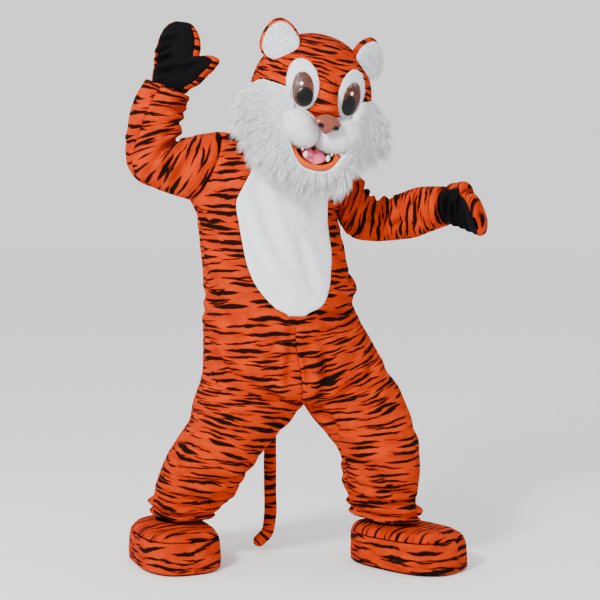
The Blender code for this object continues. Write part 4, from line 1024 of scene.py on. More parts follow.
def striped_plush(name, strokes, fade=False):
    """Orange plush printed with black strokes; with fade, the strokes fade towards the piece's
    lower end.
    """
    made, tree, shader = new_material(name)
    metres = node(tree, "UVMap", uv_map="metres")[0]
    solid_at = node(tree, "TexCoord")[3]
    parts = node(tree, "SeparateXYZ", {0: metres})
    slow = noise_at(tree, metres, 4.5, 1.0)
    jag = noise_at(tree, metres, 150.0, 3.0, (0.22, 1.0, 1.0))
    along = sum_of(tree, "ADD", parts[1], sum_of(tree, "MULTIPLY_ADD", slow, 0.05, -0.025))
    outs = [stroke_rows(tree, parts[0], along, metres, *row) for row in strokes]
    out = sum_of(tree, "MINIMUM", sum_of(tree, "MINIMUM", outs[0], outs[1]), outs[2])
    out = sum_of(tree, "ADD", out, sum_of(tree, "MULTIPLY_ADD", jag, 0.0086, -0.0046))
    dark = node(tree, "MapRange", {"Value": out, "From Min": 0.0013, "From Max": -0.0013},
                interpolation_type="SMOOTHSTEP")[0]
    if fade:
        height = node(tree, "SeparateXYZ", {0: node(tree, "TexCoord")[0]})[2]
        kept = node(tree, "MapRange", {"Value": height, "From Min": 0.20, "From Max": 0.30})[0]
        dark = sum_of(tree, "MULTIPLY", dark, kept)
    tone = noise_at(tree, metres, 30.0, 3.0, (0.45, 1.0, 1.0))
    tone = node(tree, "MapRange", {"Value": tone, "From Min": 0.34, "From Max": 0.66})[0]
    orange = mixed(tree, tone, colour("A82600"), colour("C83800"))
    pile = noise_at(tree, solid_at, 330.0, 2.0)
    orange = mixed(tree, sum_of(tree, "MULTIPLY", pile, 0.30), orange, colour("841A00"))
    black = mixed(tree, pile, colour("090504"), colour("1C0D08"))
    plush_finish(tree, shader, solid_at, mixed(tree, dark, orange, black))
    return made


def plain_plush(name, light, dark, sheen=0.08, nap=0.8):
    """Plush of one colour, mottled at random, with painted light on the pile's tips and painted
    shade between them.
    """
    made, tree, shader = new_material(name)
    where = node(tree, "TexCoord")[3]
    tone = noise_at(tree, where, 22.0, 3.0)
    pile = noise_at(tree, where, 300.0, 2.0)
    # Painted light and shade: the light colour on the pile's tips, the dark colour between them.
    share = sum_of(tree, "MULTIPLY_ADD", pile, 0.45, sum_of(tree, "MULTIPLY", tone, 0.55))
    plush_finish(tree, shader, where, mixed(tree, share, colour(dark), colour(light)), sheen, nap)
    return made


def fur(name, root, tip):
    """Long hair, darker at its roots, where the darker colour is painted shade."""
    made, tree, shader = new_material(name)
    parts = node(tree, "SeparateXYZ", {0: node(tree, "UVMap", uv_map="metres")[0]})
    # Painted shade towards the roots, and a tone that differs at random from strand to strand.
    share = sum_of(tree, "MULTIPLY_ADD", parts[0], 0.75, sum_of(tree, "MULTIPLY", parts[1], 0.25))
    tree.links.new(mixed(tree, share, colour(root), colour(tip)), shader.inputs["Base Color"])
    shader.inputs["Roughness"].default_value = 0.75
    shader.inputs["Specular IOR Level"].default_value = 0.25
    return made


def smooth_finish(name, code, roughness, coat=0.0, grain=0.0):
    """One colour. grain: how rough to the touch."""
    made, tree, shader = new_material(name)
    shader.inputs["Specular IOR Level"].default_value = 0.22
    shader.inputs["Base Color"].default_value = colour(code)
    shader.inputs["Roughness"].default_value = roughness
    shader.inputs["Coat Weight"].default_value = coat
    shader.inputs["Coat Roughness"].default_value = 0.06
    if grain:
        height = noise_at(tree, node(tree, "TexCoord")[3], 260.0, 2.0)
        bump = node(tree, "Bump", {"Strength": grain, "Distance": 0.001, "Height": height})[0]
        tree.links.new(bump, shader.inputs["Normal"])
    return made


TIGER = striped_plush("striped plush", STROKES)
HEAD_TIGER = striped_plush("finely striped plush", HEAD_STROKES)
SNOUT_TIGER = striped_plush("striped plush, plain below", HEAD_STROKES, True)
# The second colour of each plain plush is painted shade between the pile's tips.
WHITE_PLUSH = plain_plush("white plush", "FCFCFE", "DDE1E8")
BLACK_PLUSH = plain_plush("black plush", "0F0F12", "060607", 0.12, 0.8)
LIP_PLUSH = plain_plush("orange plush", "D8561E", "C44815", 0.05, 0.3)
RED_FELT = plain_plush("dark red felt", "6E1C14", "4C100B", 0.05)
PINK_FELT = plain_plush("pink felt", "F0758F", "E0607C", 0.1)
# DFE1E7, the fur's root colour, is painted shade.
FUR = fur("white fur", "DFE1E7", "FFFFFF")
EYE_BROWN = smooth_finish("brown gloss plastic", "4C2416", 0.42, 0.02)
EYE_BLACK = smooth_finish("black gloss plastic", "050505", 0.22, 0.05)
# Painted highlight: the white of the glints on the eyes.
PAINTED_GLINT_WHITE = smooth_finish("white painted glint", "FAFAFA", 0.2)
NOSE_VINYL = smooth_finish("brown vinyl", "7E3F2E", 0.34, 0.15, 0.25)
TOOTH_VINYL = smooth_finish("ivory vinyl", "E2DCD2", 0.4)
RUBBER = smooth_finish("black rubber", "151313", 0.7)

# The pieces


def placed(piece, node_name=None):
    """Attach a piece to the root, and hide the CAD part that it stands for, by default the one it
    is named after.
    """
    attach(piece, "root")
    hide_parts(node_name or piece.name.removesuffix("_look"))
    return piece


def cut_from(cloth, name, material, thick):
    """Make a panel of the cloth a piece."""
    piece = placed(cloth.piece(name, material, thick))


def smooth_share(values):
    """From 0 to 1 with no corner at either end."""
    t = np.clip(values, 0.0, 1.0)
    return t * t * (3 - 2 * t)


def build_suit():
    """The suit's panels. Each quarter is a grid from the hem of a leg up to the shoulder."""
    cloth, coarse = Cloth(), {}
    columns = PANEL_STEPS * FINER
    leg_count, body_count = len(LEG["left"]), len(BODY)
    belly_row = sum(SUIT_ROWS[: leg_count + BELLY_FROM])
    neck_row = sum(SUIT_ROWS[: leg_count + body_count + 4])
    smooth = smooth_share(np.arange(columns + 1) / columns * 4.0)
    breaks = {leg_count - 1: smooth, leg_count + body_count: smooth[::-1]}
    for side in ("left", "right"):
        for facing, face_name in ((1, "front"), (-1, "back")):
            rows = leg_rows(side, facing) + body_rows(side, facing) + yoke_rows(side, facing)
            coarse[f"{face_name}_{side}"] = [row[::FINER] for row in rows]
            grid = refined(rows, SUIT_ROWS, breaks)
            metres = cloth_metres(grid) + np.array([PRINT_AT[f"body_{side}"] + facing, 0.0])
            level = smooth_share((np.arange(len(grid)) - LEVEL_FROM[side]) / LEVEL_OVER)[:, None]
            level_row = LEVEL_FROM[side] + LEVEL_OVER
            above = grid[:, :, 2] - grid[level_row, :, 2].mean() + metres[level_row, 0, 1]
            metres[:, :, 1] += (above - metres[:, :, 1]) * level
            outward = (side == "left") == (facing > 0)
            cells = [(i, j) for i in range(len(grid) - 1) for j in range(columns)]
            if facing > 0:
                across_belly = range(BELLY_STEPS * FINER)
                inset = [(i, j) for i in range(belly_row, neck_row) for j in across_belly]
                cloth.add("belly", grid, metres, inset, not outward)
                cells = sorted(set(cells) - set(inset))
            cloth.add(f"{face_name}_{side}", grid, metres, cells, not outward)
        rings = sleeve_rows(side)
        coarse[f"sleeve_{side}"] = rings
        grid = refined(finer_rings(rings), SLEEVE_ROWS)
        half = grid.shape[1] // 2
        metres = cloth_metres(grid, half // 2) + np.array([PRINT_AT[f"sleeve_{side}"], 0.2])
        for half_name, part in (("front", range(half)), ("back", range(half, 2 * half))):
            cells = [(i, j) for i in range(len(grid) - 1) for j in part]
            cloth.add(f"sleeve_{side}_{half_name}", grid, metres, cells, side == "left")
    cloth.settle()
    crease(cloth, coarse)
    for name in cloth.panels:
        look = (WHITE_PLUSH, "plush_white") if name == "belly" else (TIGER, "plush_tiger")
        cut_from(cloth, name, look[0], PLUSH)


def finer_rings(rings):
    """A sleeve's rings with more points round them. The first is the armhole's two edges."""
    made = []
    half = PANEL_STEPS
    for n, ring in enumerate(rings):
        row = np.array([[tuple(p)] for p in ring])
        if n == 0:
            parts = row[: half + 1], row[half:]
            front, back = (refined(part, [ROUND] * half)[:, 0] for part in parts)
            made.append(np.concatenate([front, back[1:]]))
        else:
            loop = np.concatenate([row[-2:-1], row, row[1:2]])
            made.append(refined(loop, [1] + [ROUND] * (2 * half) + [1])[1:-1, 0])
    return made


def build_mitten(side):
    """The palm and the back of a mitten."""
    cloth = Cloth()
    wrist, thumb, back, fingers = mitten_frame(side)
    for facing, piece_name in ((1, "palm"), (-1, "back")):
        rows = []
        for row in MITTEN:
            line = []
            for k in range(MITTEN_STEPS + 1):
                p = mitten_point(side, row, facing, k / MITTEN_STEPS)
                line.append(wrist + thumb * p.x + back * p.y + fingers * p.z)
            rows.append(line)
        grid = refined(rows, MITTEN_ROWS)
        local = grid - np.array(wrist)
        over = local @ np.array(thumb) + facing * (local @ np.array(back))
        over += PRINT_AT["mitten"] + facing
        metres = np.stack([over, local @ np.array(fingers) + 0.4], axis=2)
        flip = (facing < 0) == (side == "right")
        cloth.add(f"mitten_{side}_{piece_name}", grid, metres, None, flip)
    cloth.settle()
    amount = cloth.seam_dip(0.002, 0.005)
    local = cloth.points - np.array(wrist)
    for start, end, depth in PALM_FOLDS[side]:
        path = [np.array(wrist + thumb * u + fingers * v) for u, v in (start, end)]
        flat = cloth.points - np.outer(local @ np.array(back), np.array(back))
        facing_palm = smooth_share(-(cloth.normals @ np.array(back)) * 2.0 - 0.2)
        normals = np.broadcast_to(-np.array(back), cloth.points.shape)
        amount += fold_push(flat, normals, path, depth, 0.009) * facing_palm
    amount += cloth.unevenness(16.0, 0.0022)
    amount += cloth.unevenness(45.0, 0.0009)
    cloth.push(amount)
    for name in cloth.panels:
        palm = name.endswith("palm")
        look = (BLACK_PLUSH, "plush_black") if palm else (TIGER, "plush_tiger")
        cut_from(cloth, name, look[0], PLUSH)


# Creases of each palm, from (across, along) to (across, along) of the mitten, and their depth.
PALM_FOLDS = {
    "left": (
        ((-0.060, 0.060), (0.050, 0.085), 0.016),
        ((-0.064, 0.095), (0.060, 0.110), 0.013),
        ((-0.020, 0.030), (0.080, 0.060), 0.012),
        ((-0.066, 0.130), (0.040, 0.140), 0.010),
    ),
    "right": (
        ((-0.070, 0.075), (0.010, 0.120), 0.011),
        ((-0.070, 0.105), (0.000, 0.150), 0.009),
        ((-0.050, 0.045), (0.050, 0.085), 0.011),
        ((0.010, 0.050), (0.110, 0.105), 0.009),
        ((-0.060, 0.150), (0.020, 0.180), 0.008),
    ),
}


def build_boot(side):
    """The side, top and sole of a boot cover."""
    x, y, turn = BOOT_PLACE[side]
    matrix = Matrix.Translation((x, y, 0.0)) @ Matrix.Rotation(math.radians(turn), 4, "Z")
    cloth = Cloth()
    walls = (("side", BOOT_SIDE, (4, 5, 5, 4)), ("top", BOOT_TOP, (4, 8, 8)))
    for piece_name, profile, counts in walls:
        rows = [boot_outline(side, reach, height) for height, reach in profile]
        grid = refined([[matrix @ p for p in row] for row in rows], counts)
        metres = cloth_metres(grid)
        if piece_name == "top":
            local = np.array(matrix.inverted())
            flat = grid @ local[:3, :3].T + local[:3, 3]
            metres = flat[:, :, :2] * np.array([1.0, -1.0])
        metres = metres + np.array([PRINT_AT[f"boot_{side}"], 0.3])
        cloth.add(f"boot_{side}_{piece_name}", grid, metres, None, True)
    cloth.settle()
    amount = cloth.seam_dip(0.0005, 0.008)
    amount += cloth.unevenness(9.0, 0.0042, x)
    amount += cloth.unevenness(24.0, 0.0018, x)
    cloth.push(amount)
    for name in cloth.panels:
        cut_from(cloth, name, TIGER, FOAM_PLUSH)
    rim = [matrix @ p for p in boot_outline(side, BOOT_RIM, 0.0)[:-1]]
    rings = [[p + Vector((0, 0, z)) for p in rim] for z in (0.0, BOOT_SOLE)]
    sole = ringed(f"boot_{side}_sole", rings, RUBBER, smooth=False)
    placed(sole)


def ring_round(path, k, radius, count, beyond=0.0):
    """A ring round point k of a path, square to it. beyond: how far along from the point it is."""
    run = Vector(path[min(len(path) - 1, k + 1)] - path[max(0, k - 1)]).normalized()
    side_way = (Vector((0.0, 1.0, 0.0)) - run * run.y).normalized()
    other = run.cross(side_way)
    middle = Vector(path[k]) + run * beyond
    return [
        middle + (side_way * math.cos(a) + other * math.sin(a)) * radius
        for a in np.linspace(0.0, math.tau, count, endpoint=False)
    ]


def build_tail():
    """A stuffed tube with a round end."""
    path = refined([[p] for p in TAIL_PATH], (4, 5, 6, 6, 6, 5, 4, 4))[:, 0]
    rings = []
    for k, point in enumerate(path):
        full = TAIL_THICK * (1.0 + 0.05 * noise.noise(Vector(point) * 18.0))
        spread = [(1.0, 0.0)]
        if k in (0, len(path) - 1):
            spread = [(math.cos(a), math.sin(a)) for a in (0.0, 0.5, 0.9, 1.25)]
            spread = spread[::-1] if k == 0 else spread
        for reach, beyond in spread:
            rings.append(ring_round(path, k, full * reach, 28, beyond * full * (1 if k else -1)))
    placed(ringed("tail", rings, TIGER))


def build_skull():
    """The head's shell: its front and its back."""
    cloth = Cloth()
    for piece_name, start in (("front", -90.0), ("back", 90.0)):
        grid = []
        for i in range(HEAD_ROWS + 1):
            rise = HEAD_OPENING + (90.0 - HEAD_OPENING) * i / HEAD_ROWS
            turns = [start + 180.0 * j / HEAD_COLUMNS for j in range(HEAD_COLUMNS + 1)]
            grid.append([tuple(HEAD @ skull_point(turn, rise)) for turn in turns])
        grid = np.array(grid)
        place = np.array([PRINT_AT[f"head_{piece_name}"], HEAD_PRINT_UP])
        cloth.add(f"head_{piece_name}", grid, cloth_metres(grid, HEAD_COLUMNS // 2) + place)
    cloth.settle()
    cloth.push(cloth.seam_dip(0.002, 0.006) + cloth.unevenness(14.0, 0.002))
    for name in cloth.panels:
        cut_from(cloth, name, HEAD_TIGER, FOAM_PLUSH)


def mirrored(shape, sign):
    """A pad's middle, size and turn on the wearer's left, for 1, or right, for -1."""
    (x, y, z), half, (turn_x, turn_y, turn_z) = shape
    return (sign * x, y, z), half, (turn_x, sign * turn_y, sign * turn_z)


def ear_outline(p):
    """A ball's point, spread toward a rounded triangle."""
    return Vector((p.x * (1.06 - 0.26 * p.z), p.y, p.z))


def ball(name, middle, half, material, turn=(0, 0, 0), steps=(40, 24), shaped=None, outline=None):
    """An ellipsoid in the head's own directions. shaped: changes its points there.

    outline: changes the points of the ball before it is sized.
    """
    spin = Matrix.Identity(4)
    for axis, angle in zip("XYZ", turn):
        spin = Matrix.Rotation(math.radians(angle), 4, axis) @ spin
    where = Matrix.Translation(middle) @ spin @ Matrix.Diagonal((*half, 1.0))
    rings = []
    for i in range(1, steps[1]):
        rise = math.pi * (i / steps[1] - 0.5)
        around = np.linspace(0.0, math.tau, steps[0], endpoint=False)
        wide, up = math.cos(rise), math.sin(rise)
        ring = [Vector((math.cos(a) * wide, math.sin(a) * wide, up)) for a in around]
        ring = [where @ (outline(p) if outline else p) for p in ring]
        rings.append([shaped(p) if shaped else p for p in ring])
    return ringed(name, rings, material, HEAD)


def off_skull(point, gap=0.0012):
    """The point, moved forward where it would be inside the skull."""
    surface = skull_front(point.x, point.z)
    if surface < -0.01 and point.y > surface - gap:
        return Vector((point.x, surface - gap, point.z))
    return point


def disc_on_skull(name, oval, low, high, material, steps=48):
    """An oval that lies on the skull, from low to high above it, with a rounded edge."""
    x, z, half_x, half_z, tilt = oval
    lean = math.radians(tilt)
    thick = high - low
    rings = []
    reaches = (0.06, 0.25, 0.45, 0.62, 0.78, 0.90, 0.97, 1.0)
    layers = [(s, high - thick * 0.7 * s**5) for s in reaches]
    layers += [(s, low) for s in (1.0, 0.8, 0.5, 0.1)]
    for share, height in layers:
        ring = []
        for a in np.linspace(0.0, math.tau, steps, endpoint=False):
            u, v = half_x * share * math.cos(a), half_z * share * math.sin(a)
            px = x + u * math.cos(lean) - v * math.sin(lean)
            pz = z + u * math.sin(lean) + v * math.cos(lean)
            on = Vector((px, skull_front(px, pz), pz))
            ring.append(on + on.normalized() * height)
        rings.append(ring)
    return ringed(name, rings, material, HEAD)


def strands(name, node_name, roots, normals, flow, lengths, width, spread, clump, seed):
    """Hair on a surface as one piece: tapered three-sided strands that lean along the flow.

    spread: how far strands stray from the flow. clump: size of the tufts, in metres.
    """
    luck = np.random.default_rng(seed)
    count = len(roots)
    cells = np.floor(roots / clump).astype(np.int64)
    key = (cells[:, 0] * 73856093) ^ (cells[:, 1] * 19349663) ^ (cells[:, 2] * 83492791)
    tufts, tuft = np.unique(key, return_inverse=True)
    tuft = tuft.reshape(-1)
    tuft_way = luck.normal(0.0, spread, (len(tufts), 3))[tuft]
    middle = np.stack([np.bincount(tuft, weights=roots[:, k]) for k in range(3)], axis=1)
    middle = (middle / np.bincount(tuft)[:, None])[tuft]
    way = flow + tuft_way + luck.normal(0.0, spread * 0.35, (count, 3))
    way /= np.linalg.norm(way, axis=1, keepdims=True)
    lengths = lengths * luck.uniform(0.80, 1.12, count) * luck.uniform(0.72, 1.14, len(tufts))[tuft]
    reach = lengths[:, None]
    tips = roots + way * reach
    tips += (middle + way * reach - tips) * 0.50
    bend = roots + way * reach * 0.5 + normals * reach * 0.16
    aside = np.cross(way, normals)
    aside /= np.maximum(np.linalg.norm(aside, axis=1, keepdims=True), 1e-9)
    other = np.cross(way, aside)
    widths = (width * luck.uniform(0.6, 1.25, count))[:, None]
    layers = []
    for base, size in ((roots - normals * 0.002, 0.5), (bend, 0.36)):
        for angle in (0.5, 2.6, 4.7):
            round_way = aside * math.cos(angle) + other * math.sin(angle)
            layers.append(base + round_way * widths * size)
    points = np.stack(layers + [tips], axis=1).reshape(-1, 3)
    start = np.arange(count)[:, None] * 7
    corners = [np.array([[a, (a + 1) % 3, 3 + (a + 1) % 3, 3 + a]]) for a in range(3)]
    quads = np.concatenate([start + corner for corner in corners])
    tops = np.concatenate([start + np.array([[3 + a, 3 + (a + 1) % 3, 6]]) for a in range(3)])
    shade = luck.uniform(0.0, 1.0, count)
    low, mid, top = (np.stack([np.full(count, v), shade], axis=1) for v in (0.0, 0.6, 1.0))
    quad_flats = np.stack([low, low, mid, mid], axis=1)
    top_flats = np.stack([mid, mid, top], axis=1)
    flats = [np.tile(part.reshape(-1, 2), (3, 1)) for part in (quad_flats, top_flats)]
    flats = np.concatenate(flats)
    made = finish_mesh(name, points, quads.tolist() + tops.tolist(), flats, FUR)
    placed(made, node_name)
    return made


def scattered(piece, count, seed, keep=None):
    """Random places on a piece's surface, and the normals there, in the floor's frame."""
    mesh = piece.data
    mesh.calc_loop_triangles()
    points = np.empty(len(mesh.vertices) * 3, np.float32)
    mesh.vertices.foreach_get("co", points)
    points = points.reshape(-1, 3) + np.array(NECK)
    corners = np.empty(len(mesh.loop_triangles) * 3, np.int32)
    mesh.loop_triangles.foreach_get("vertices", corners)
    a, b, c = (points[corners.reshape(-1, 3)[:, k]] for k in range(3))
    normal = np.cross(b - a, c - a)
    area = np.linalg.norm(normal, axis=1)
    if keep is not None:
        area = area * keep((a + b + c) / 3, normal / np.maximum(area, 1e-12)[:, None])
    luck = np.random.default_rng(seed)
    chosen = luck.choice(len(area), count, p=area / area.sum())
    s, t = luck.uniform(0, 1, (2, count))
    flip = s + t > 1
    s[flip], t[flip] = 1 - s[flip], 1 - t[flip]
    places = a[chosen] + (b - a)[chosen] * s[:, None] + (c - a)[chosen] * t[:, None]
    return places, normal[chosen] / lengths_of(normal[chosen])


def lengths_of(vectors):
    """Their lengths as a column, never zero."""
    return np.maximum(np.linalg.norm(vectors, axis=1, keepdims=True), 1e-12)


def in_head(points):
    """Points of the costume in the head's own directions, from its centre."""
    turned = np.array(HEAD.inverted())
    return points @ turned[:3, :3].T + turned[:3, 3]


def head_ways(vectors):
    """Ways of the head as ways of the whole costume."""
    return vectors @ np.array(HEAD)[:3, :3].T


def fuzz(piece, count, length, flow, seed, keep=None, width=0.0011):
    """Short pile on a plush piece. flow: which way it is brushed."""
    roots, normals = scattered(piece, count, seed, keep)
    way = normals * 0.65 + np.array(flow)
    name = piece.name.removesuffix("_look")
    lengths = np.full(count, length)
    strands(name + "_pile", name, roots, normals, way, lengths, width, 0.16, 0.012, seed)


def ruff_rings(angles, row_at):
    """Sections of the ruff or beard. row_at: the table's row at an angle from straight down."""
    rings = []
    for angle in angles:
        near, far, near_y, far_y, thick, pressed = row_at(abs(angle))
        turned = math.radians(angle)
        far = far * (pressed if angle > 0 else 1.0) - RUFF_SHORT
        fronts, backs = [], []
        for share in np.linspace(0.0, 1.0, 12):
            reach = near + (far - near) * share
            x, z = reach * math.sin(turned), -reach * math.cos(turned)
            swell = math.sin(math.pi * min(1.0, share * 1.1 + 0.08))
            front = near_y + (far_y - near_y) * share**1.4 - thick * 0.35 * swell
            front += 0.010 * math.exp(-(((share - 0.42) / 0.13) ** 2))
            front -= 0.006 * math.exp(-((share / 0.25) ** 2))
            back = front + max(0.008, thick * (0.45 + 0.75 * swell))
            if skull_front(x, z) < -0.02:
                back = min(back, skull_front(x, z) - PAD_GAP)
            front = min(front, back - 0.006)
            fronts.append(Vector((x, front, z)))
            backs.append(Vector((x, back, z)))
        rings.append(fronts + backs[::-1])
    return rings


def facing_front(limit):
    """Which faces face the head's front, for scattered. limit: 1 lets every face in, -1 none."""

    def keep(middles, normals):
        facing = in_head(middles + normals) - in_head(middles)
        return np.where(facing[:, 1] < limit, 1.0, 0.0)

    return keep


def build_ruff():
    """The two sides of the ruff and the beard, each a soft body under long fur."""
    table, beard, starts = np.array(RUFF), np.array(BEARD), np.array(RUFF_IN)

    def row_at(angle):
        if angle >= table[0, 0]:
            row = [np.interp(angle, table[:, 0], table[:, k]) for k in range(1, 7)]
        else:
            row = list(beard + (table[0, 1:] - beard) * (angle / table[0, 0]) ** 2)
        row[0] = np.interp(angle, starts[:, 0], starts[:, 1])
        return row

    turns = {f"ruff_{side}": sign * np.linspace(*RUFF_FROM_TO, RUFF_STEPS) for side, sign in SIDES}
    turns["beard"] = np.linspace(-BEARD_HALF, BEARD_HALF, BEARD_STEPS)
    pieces = {}
    for name, angles in turns.items():
        pieces[name] = ringed(name, ruff_rings(angles, row_at), WHITE_PLUSH, HEAD)
    for n, (name, piece) in enumerate(pieces.items()):
        placed(piece)
        count = BEARD_HAIRS if name == "beard" else RUFF_HAIRS
        roots, normals = scattered(piece, count, 11 + n, facing_front(0.55))
        radial = in_head(roots) * np.array([1.0, 0.0, 1.0])
        reach = np.linalg.norm(radial, axis=1, keepdims=True)
        radial /= reach
        share = smooth_share((reach[:, 0] - 0.16) / 0.09)
        flow = radial * 0.75 + np.array([0.0, 0.0, -0.70])
        flow = head_ways(flow) + normals * 0.22
        lengths = RUFF_HAIR[0] + RUFF_HAIR[1] * share
        strands(name + "_hair", name, roots, normals, flow, lengths, 0.0016, 0.15, 0.017, 31 + n)


OVAL_LOOKS = {
    "eye_patch": (WHITE_PLUSH, "plush_white"),
    "eye": (EYE_BROWN, "eye_brown"),
    "pupil": (EYE_BLACK, "eye_black"),
}


def head_way(x, y, z):
    """The same for one way."""
    return head_ways(np.array([[x, y, z]]))[0]


def build_face():
    """Everything on the front of the head, and the ears."""
    for side, sign in SIDES:
        where, size, turn = mirrored(PUFF, sign)

        def puff_shape(point, sign=sign):
            point = off_skull(point)
            if point.x * sign < 0.0004:
                return Vector((sign * 0.0004, point.y, point.z))
            return point

        puff = ball(f"muzzle_{side}", where, size, WHITE_PLUSH, turn, (56, 40), puff_shape)
        placed(puff)
        forward = facing_front(0.35)
        fuzz(puff, 4500, 0.0075, head_way(sign * 0.5, 0.1, -0.5), 51, forward)
        for name, shape, material in (("back", EAR, HEAD_TIGER), ("inner", EAR_INNER, WHITE_PLUSH)):
            where, size, turn = mirrored(shape, sign)
            bent = {"shaped": cup_ear, "outline": ear_outline}
            ear = ball(f"ear_{side}_{name}", where, size, material, turn, (48, 32), **bent)
            placed(ear)
            if name == "inner":
                flow = head_way(sign * 0.5, -0.2, 0.8) * 0.5
                fuzz(ear, 4000, 0.0065, flow, 61, forward, 0.0009)
        for name, x, z, half_x, half_z, low, high in OVALS:
            material, slot = OVAL_LOOKS[name]
            oval = (sign * x, z, half_x, half_z, sign * OVAL_LEAN)
            piece = disc_on_skull(f"{name}_{side}", oval, low, high, material)
            placed(piece)
            if name == "eye_patch":
                fuzz(piece, 2000, 0.0060, head_way(sign * 0.4, 0.0, -0.4), 71, forward)
        # The glints: painted highlights, white discs that stand for a reflection on each eye.
        x, z, half_x, half_z = GLINT
        oval = (sign * x + GLINT_SHIFT, z, half_x, half_z, 0)
        placed(disc_on_skull(f"glint_{side}", oval, *GLINT_OVER, PAINTED_GLINT_WHITE))
    build_bridge()
    build_nose()
    build_mouth()
    build_ruff()


def cup_ear(point):
    """An ear's point, kept off the skull."""
    way = point.normalized()
    reach = 1.0 / Vector((way.x / SKULL.x, way.y / SKULL.y, way.z / SKULL.z)).length
    if point.length < reach + 0.001:
        return way * (reach + 0.001)
    return point


def build_bridge():
    """The striped ridge from between the eyes down to the nose, widening as it goes."""
    rings = []
    for share in np.linspace(0.0, 1.0, BRIDGE_STEPS[0]):
        z = BRIDGE_Z[0] + (BRIDGE_Z[1] - 0.008 - BRIDGE_Z[0]) * share
        half = BRIDGE_HALF[0] + (BRIDGE_HALF[1] + 0.004 - BRIDGE_HALF[0]) * share**1.4
        lift = (BRIDGE_LIFT[1] + 0.007) * share**1.25
        lift *= 1.0 - 0.30 * smooth_share((share - 0.88) / 0.12)
        fronts, backs = [], []
        for angle in np.linspace(math.pi, 0.0, BRIDGE_STEPS[1]):
            x = half * math.cos(angle)
            base = skull_front(x, z) - PAD_GAP
            fronts.append(Vector((x, base - 0.001 - lift * math.sin(angle), z)))
            backs.append(Vector((x, base, z)))
        rings.append(fronts + backs[::-1])
    bridge = ringed("nose_bridge", rings, SNOUT_TIGER, HEAD)
    on_head(bridge)
    placed(bridge)


def on_head(piece):
    """Lay a piece's print so that it runs on from the skull's."""
    mesh = piece.data
    turned = HEAD.inverted()
    for loop, flat in zip(mesh.loops, mesh.uv_layers["metres"].data):
        p = turned @ (mesh.vertices[loop.vertex_index].co + NECK)
        rise = math.asin(max(-1.0, min(1.0, p.z / SKULL.z)))
        up = HEAD_RADIUS * (rise - math.radians(HEAD_OPENING))
        flat.uv = (PRINT_AT["head_front"] + p.x, HEAD_PRINT_UP + up)


def build_nose():
    """The nose and its two nostrils."""

    def pointed(p):
        """Narrow below, as an animal's nose is."""
        middle, half = NOSE
        down = max(0.0, (middle[2] - p.z) / half[2])
        up = 1.0 - down if p.z > middle[2] else 0.0
        lower = 0.004 * down + 0.003 * up * abs(p.x) / half[0]
        return Vector((p.x * (1.04 - 0.76 * down), p.y, p.z - lower))

    nose = ball("nose", *NOSE, NOSE_VINYL, (0, 0, 0), (48, 32), pointed)
    placed(nose)
    (x, y, z), half = NOSTRIL
    for side, sign in SIDES:
        piece = ball(f"nostril_{side}", (sign * x, y, z), half, EYE_BLACK, (0, 0, 0), (24, 16))
        placed(piece)


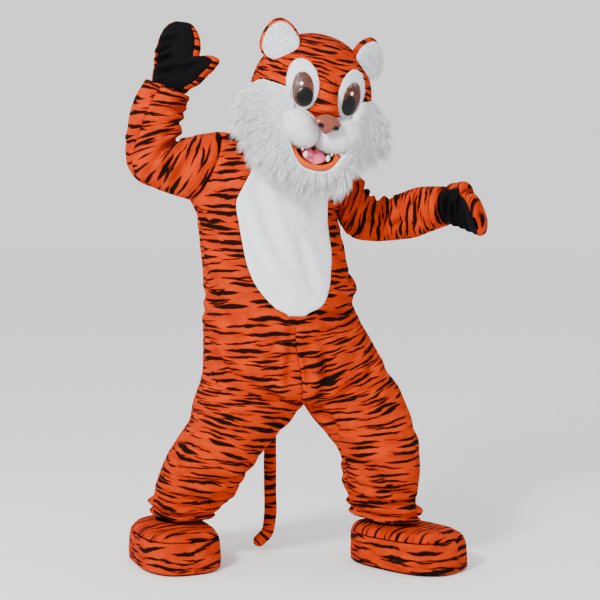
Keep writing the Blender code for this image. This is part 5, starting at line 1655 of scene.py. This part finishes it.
def build_mouth():
    """The lip round the open mouth, its lining, the tongue and the teeth."""
    edge = [mouth_edge(k / MOUTH_STEPS) for k in range(MOUTH_STEPS + 1)]
    rings = [ring_round(edge, k, LIP_THICK, 20) for k in range(MOUTH_STEPS + 1)]
    placed(ringed("lip", rings, LIP_PLUSH, HEAD))
    rings = []
    for inside in np.linspace(0.90, 0.06, LINING_ROWS):
        fronts, backs = [], []
        for rim in edge:
            middle = Vector((rim.x * 0.75, -0.168, MOUTH_TOP - 0.014))
            point = middle.lerp(rim, inside)
            point.y += 0.006 + 0.012 * math.sin(math.pi * inside)
            fronts.append(point)
            backs.append(point + Vector((0.0, LINING, -LINING)))
        rings.append(fronts + backs[::-1])
    placed(ringed("mouth_lining", rings, RED_FELT, HEAD))

    def grooved(p):
        """A soft groove down the middle."""
        sink = 0.008 * math.exp(-((p.x / 0.008) ** 2))
        return p + Vector((0.0, sink * 0.6, -sink * 0.8))

    tongue = ball("tongue", *TONGUE[:2], PINK_FELT, TONGUE[2], (48, 28), grooved)
    placed(tongue)
    for name, x, y, z, times in TEETH:
        for side, sign in SIDES:
            where, size = (sign * x, y, z), Vector(TOOTH) * times
            tooth = ball(f"{name}_{side}", where, size, TOOTH_VINYL, (0, 0, 0), (20, 14))
            placed(tooth)


build_suit()
for each, _ in SIDES:
    build_mitten(each)
    build_boot(each)
build_tail()
build_skull()
build_face()

# Stage, light and camera


def area_light(name, place, target, size, power):
    data = bpy.data.lights.new(name, "AREA")
    data.shape = "DISK"
    data.size = size
    data.energy = power
    lamp = bpy.data.objects.new(name, data)
    lamp.location = place
    lamp.rotation_euler = (Vector(target) - Vector(place)).to_track_quat("-Z", "Y").to_euler()
    bpy.context.scene.collection.objects.link(lamp)


def build_stage():
    floor_z = -NECK.z
    mesh = bpy.data.meshes.new("floor")
    half = 30.0
    turns = ((-1, -1), (1, -1), (1, 1), (-1, 1))
    corners = [(half * x, half * y, floor_z) for x, y in turns]
    mesh.from_pydata(corners, [], [(0, 1, 2, 3)])
    mesh.materials.append(smooth_finish("pale studio floor", "FAFAFA", 0.9))
    floor = bpy.data.objects.new("floor", mesh)
    bpy.context.scene.collection.objects.link(floor)
    world = bpy.data.worlds.new("studio")
    world.use_nodes = True
    back = world.node_tree.nodes["Background"]
    back.inputs["Color"].default_value = (1.0, 1.0, 1.0, 1.0)
    back.inputs["Strength"].default_value = 1.25
    bpy.context.scene.world = world
    area_light("key", (-2.2, -3.6, 1.9), (0.0, 0.0, -0.5), 0.9, 300.0)
    area_light("fill", (2.8, -3.0, 0.6), (0.0, 0.0, -0.6), 2.2, 12.0)


def build_camera():
    data = bpy.data.cameras.new("camera")
    data.angle = math.radians(23.03)
    camera = bpy.data.objects.new("camera", data)
    camera.location = Vector((0.0, -5.0, 1.25)) - NECK
    camera.rotation_euler = (math.radians(90.0 - 3.83), 0.0, 0.0)
    bpy.context.scene.collection.objects.link(camera)
    bpy.context.scene.camera = camera


build_stage()
build_camera()
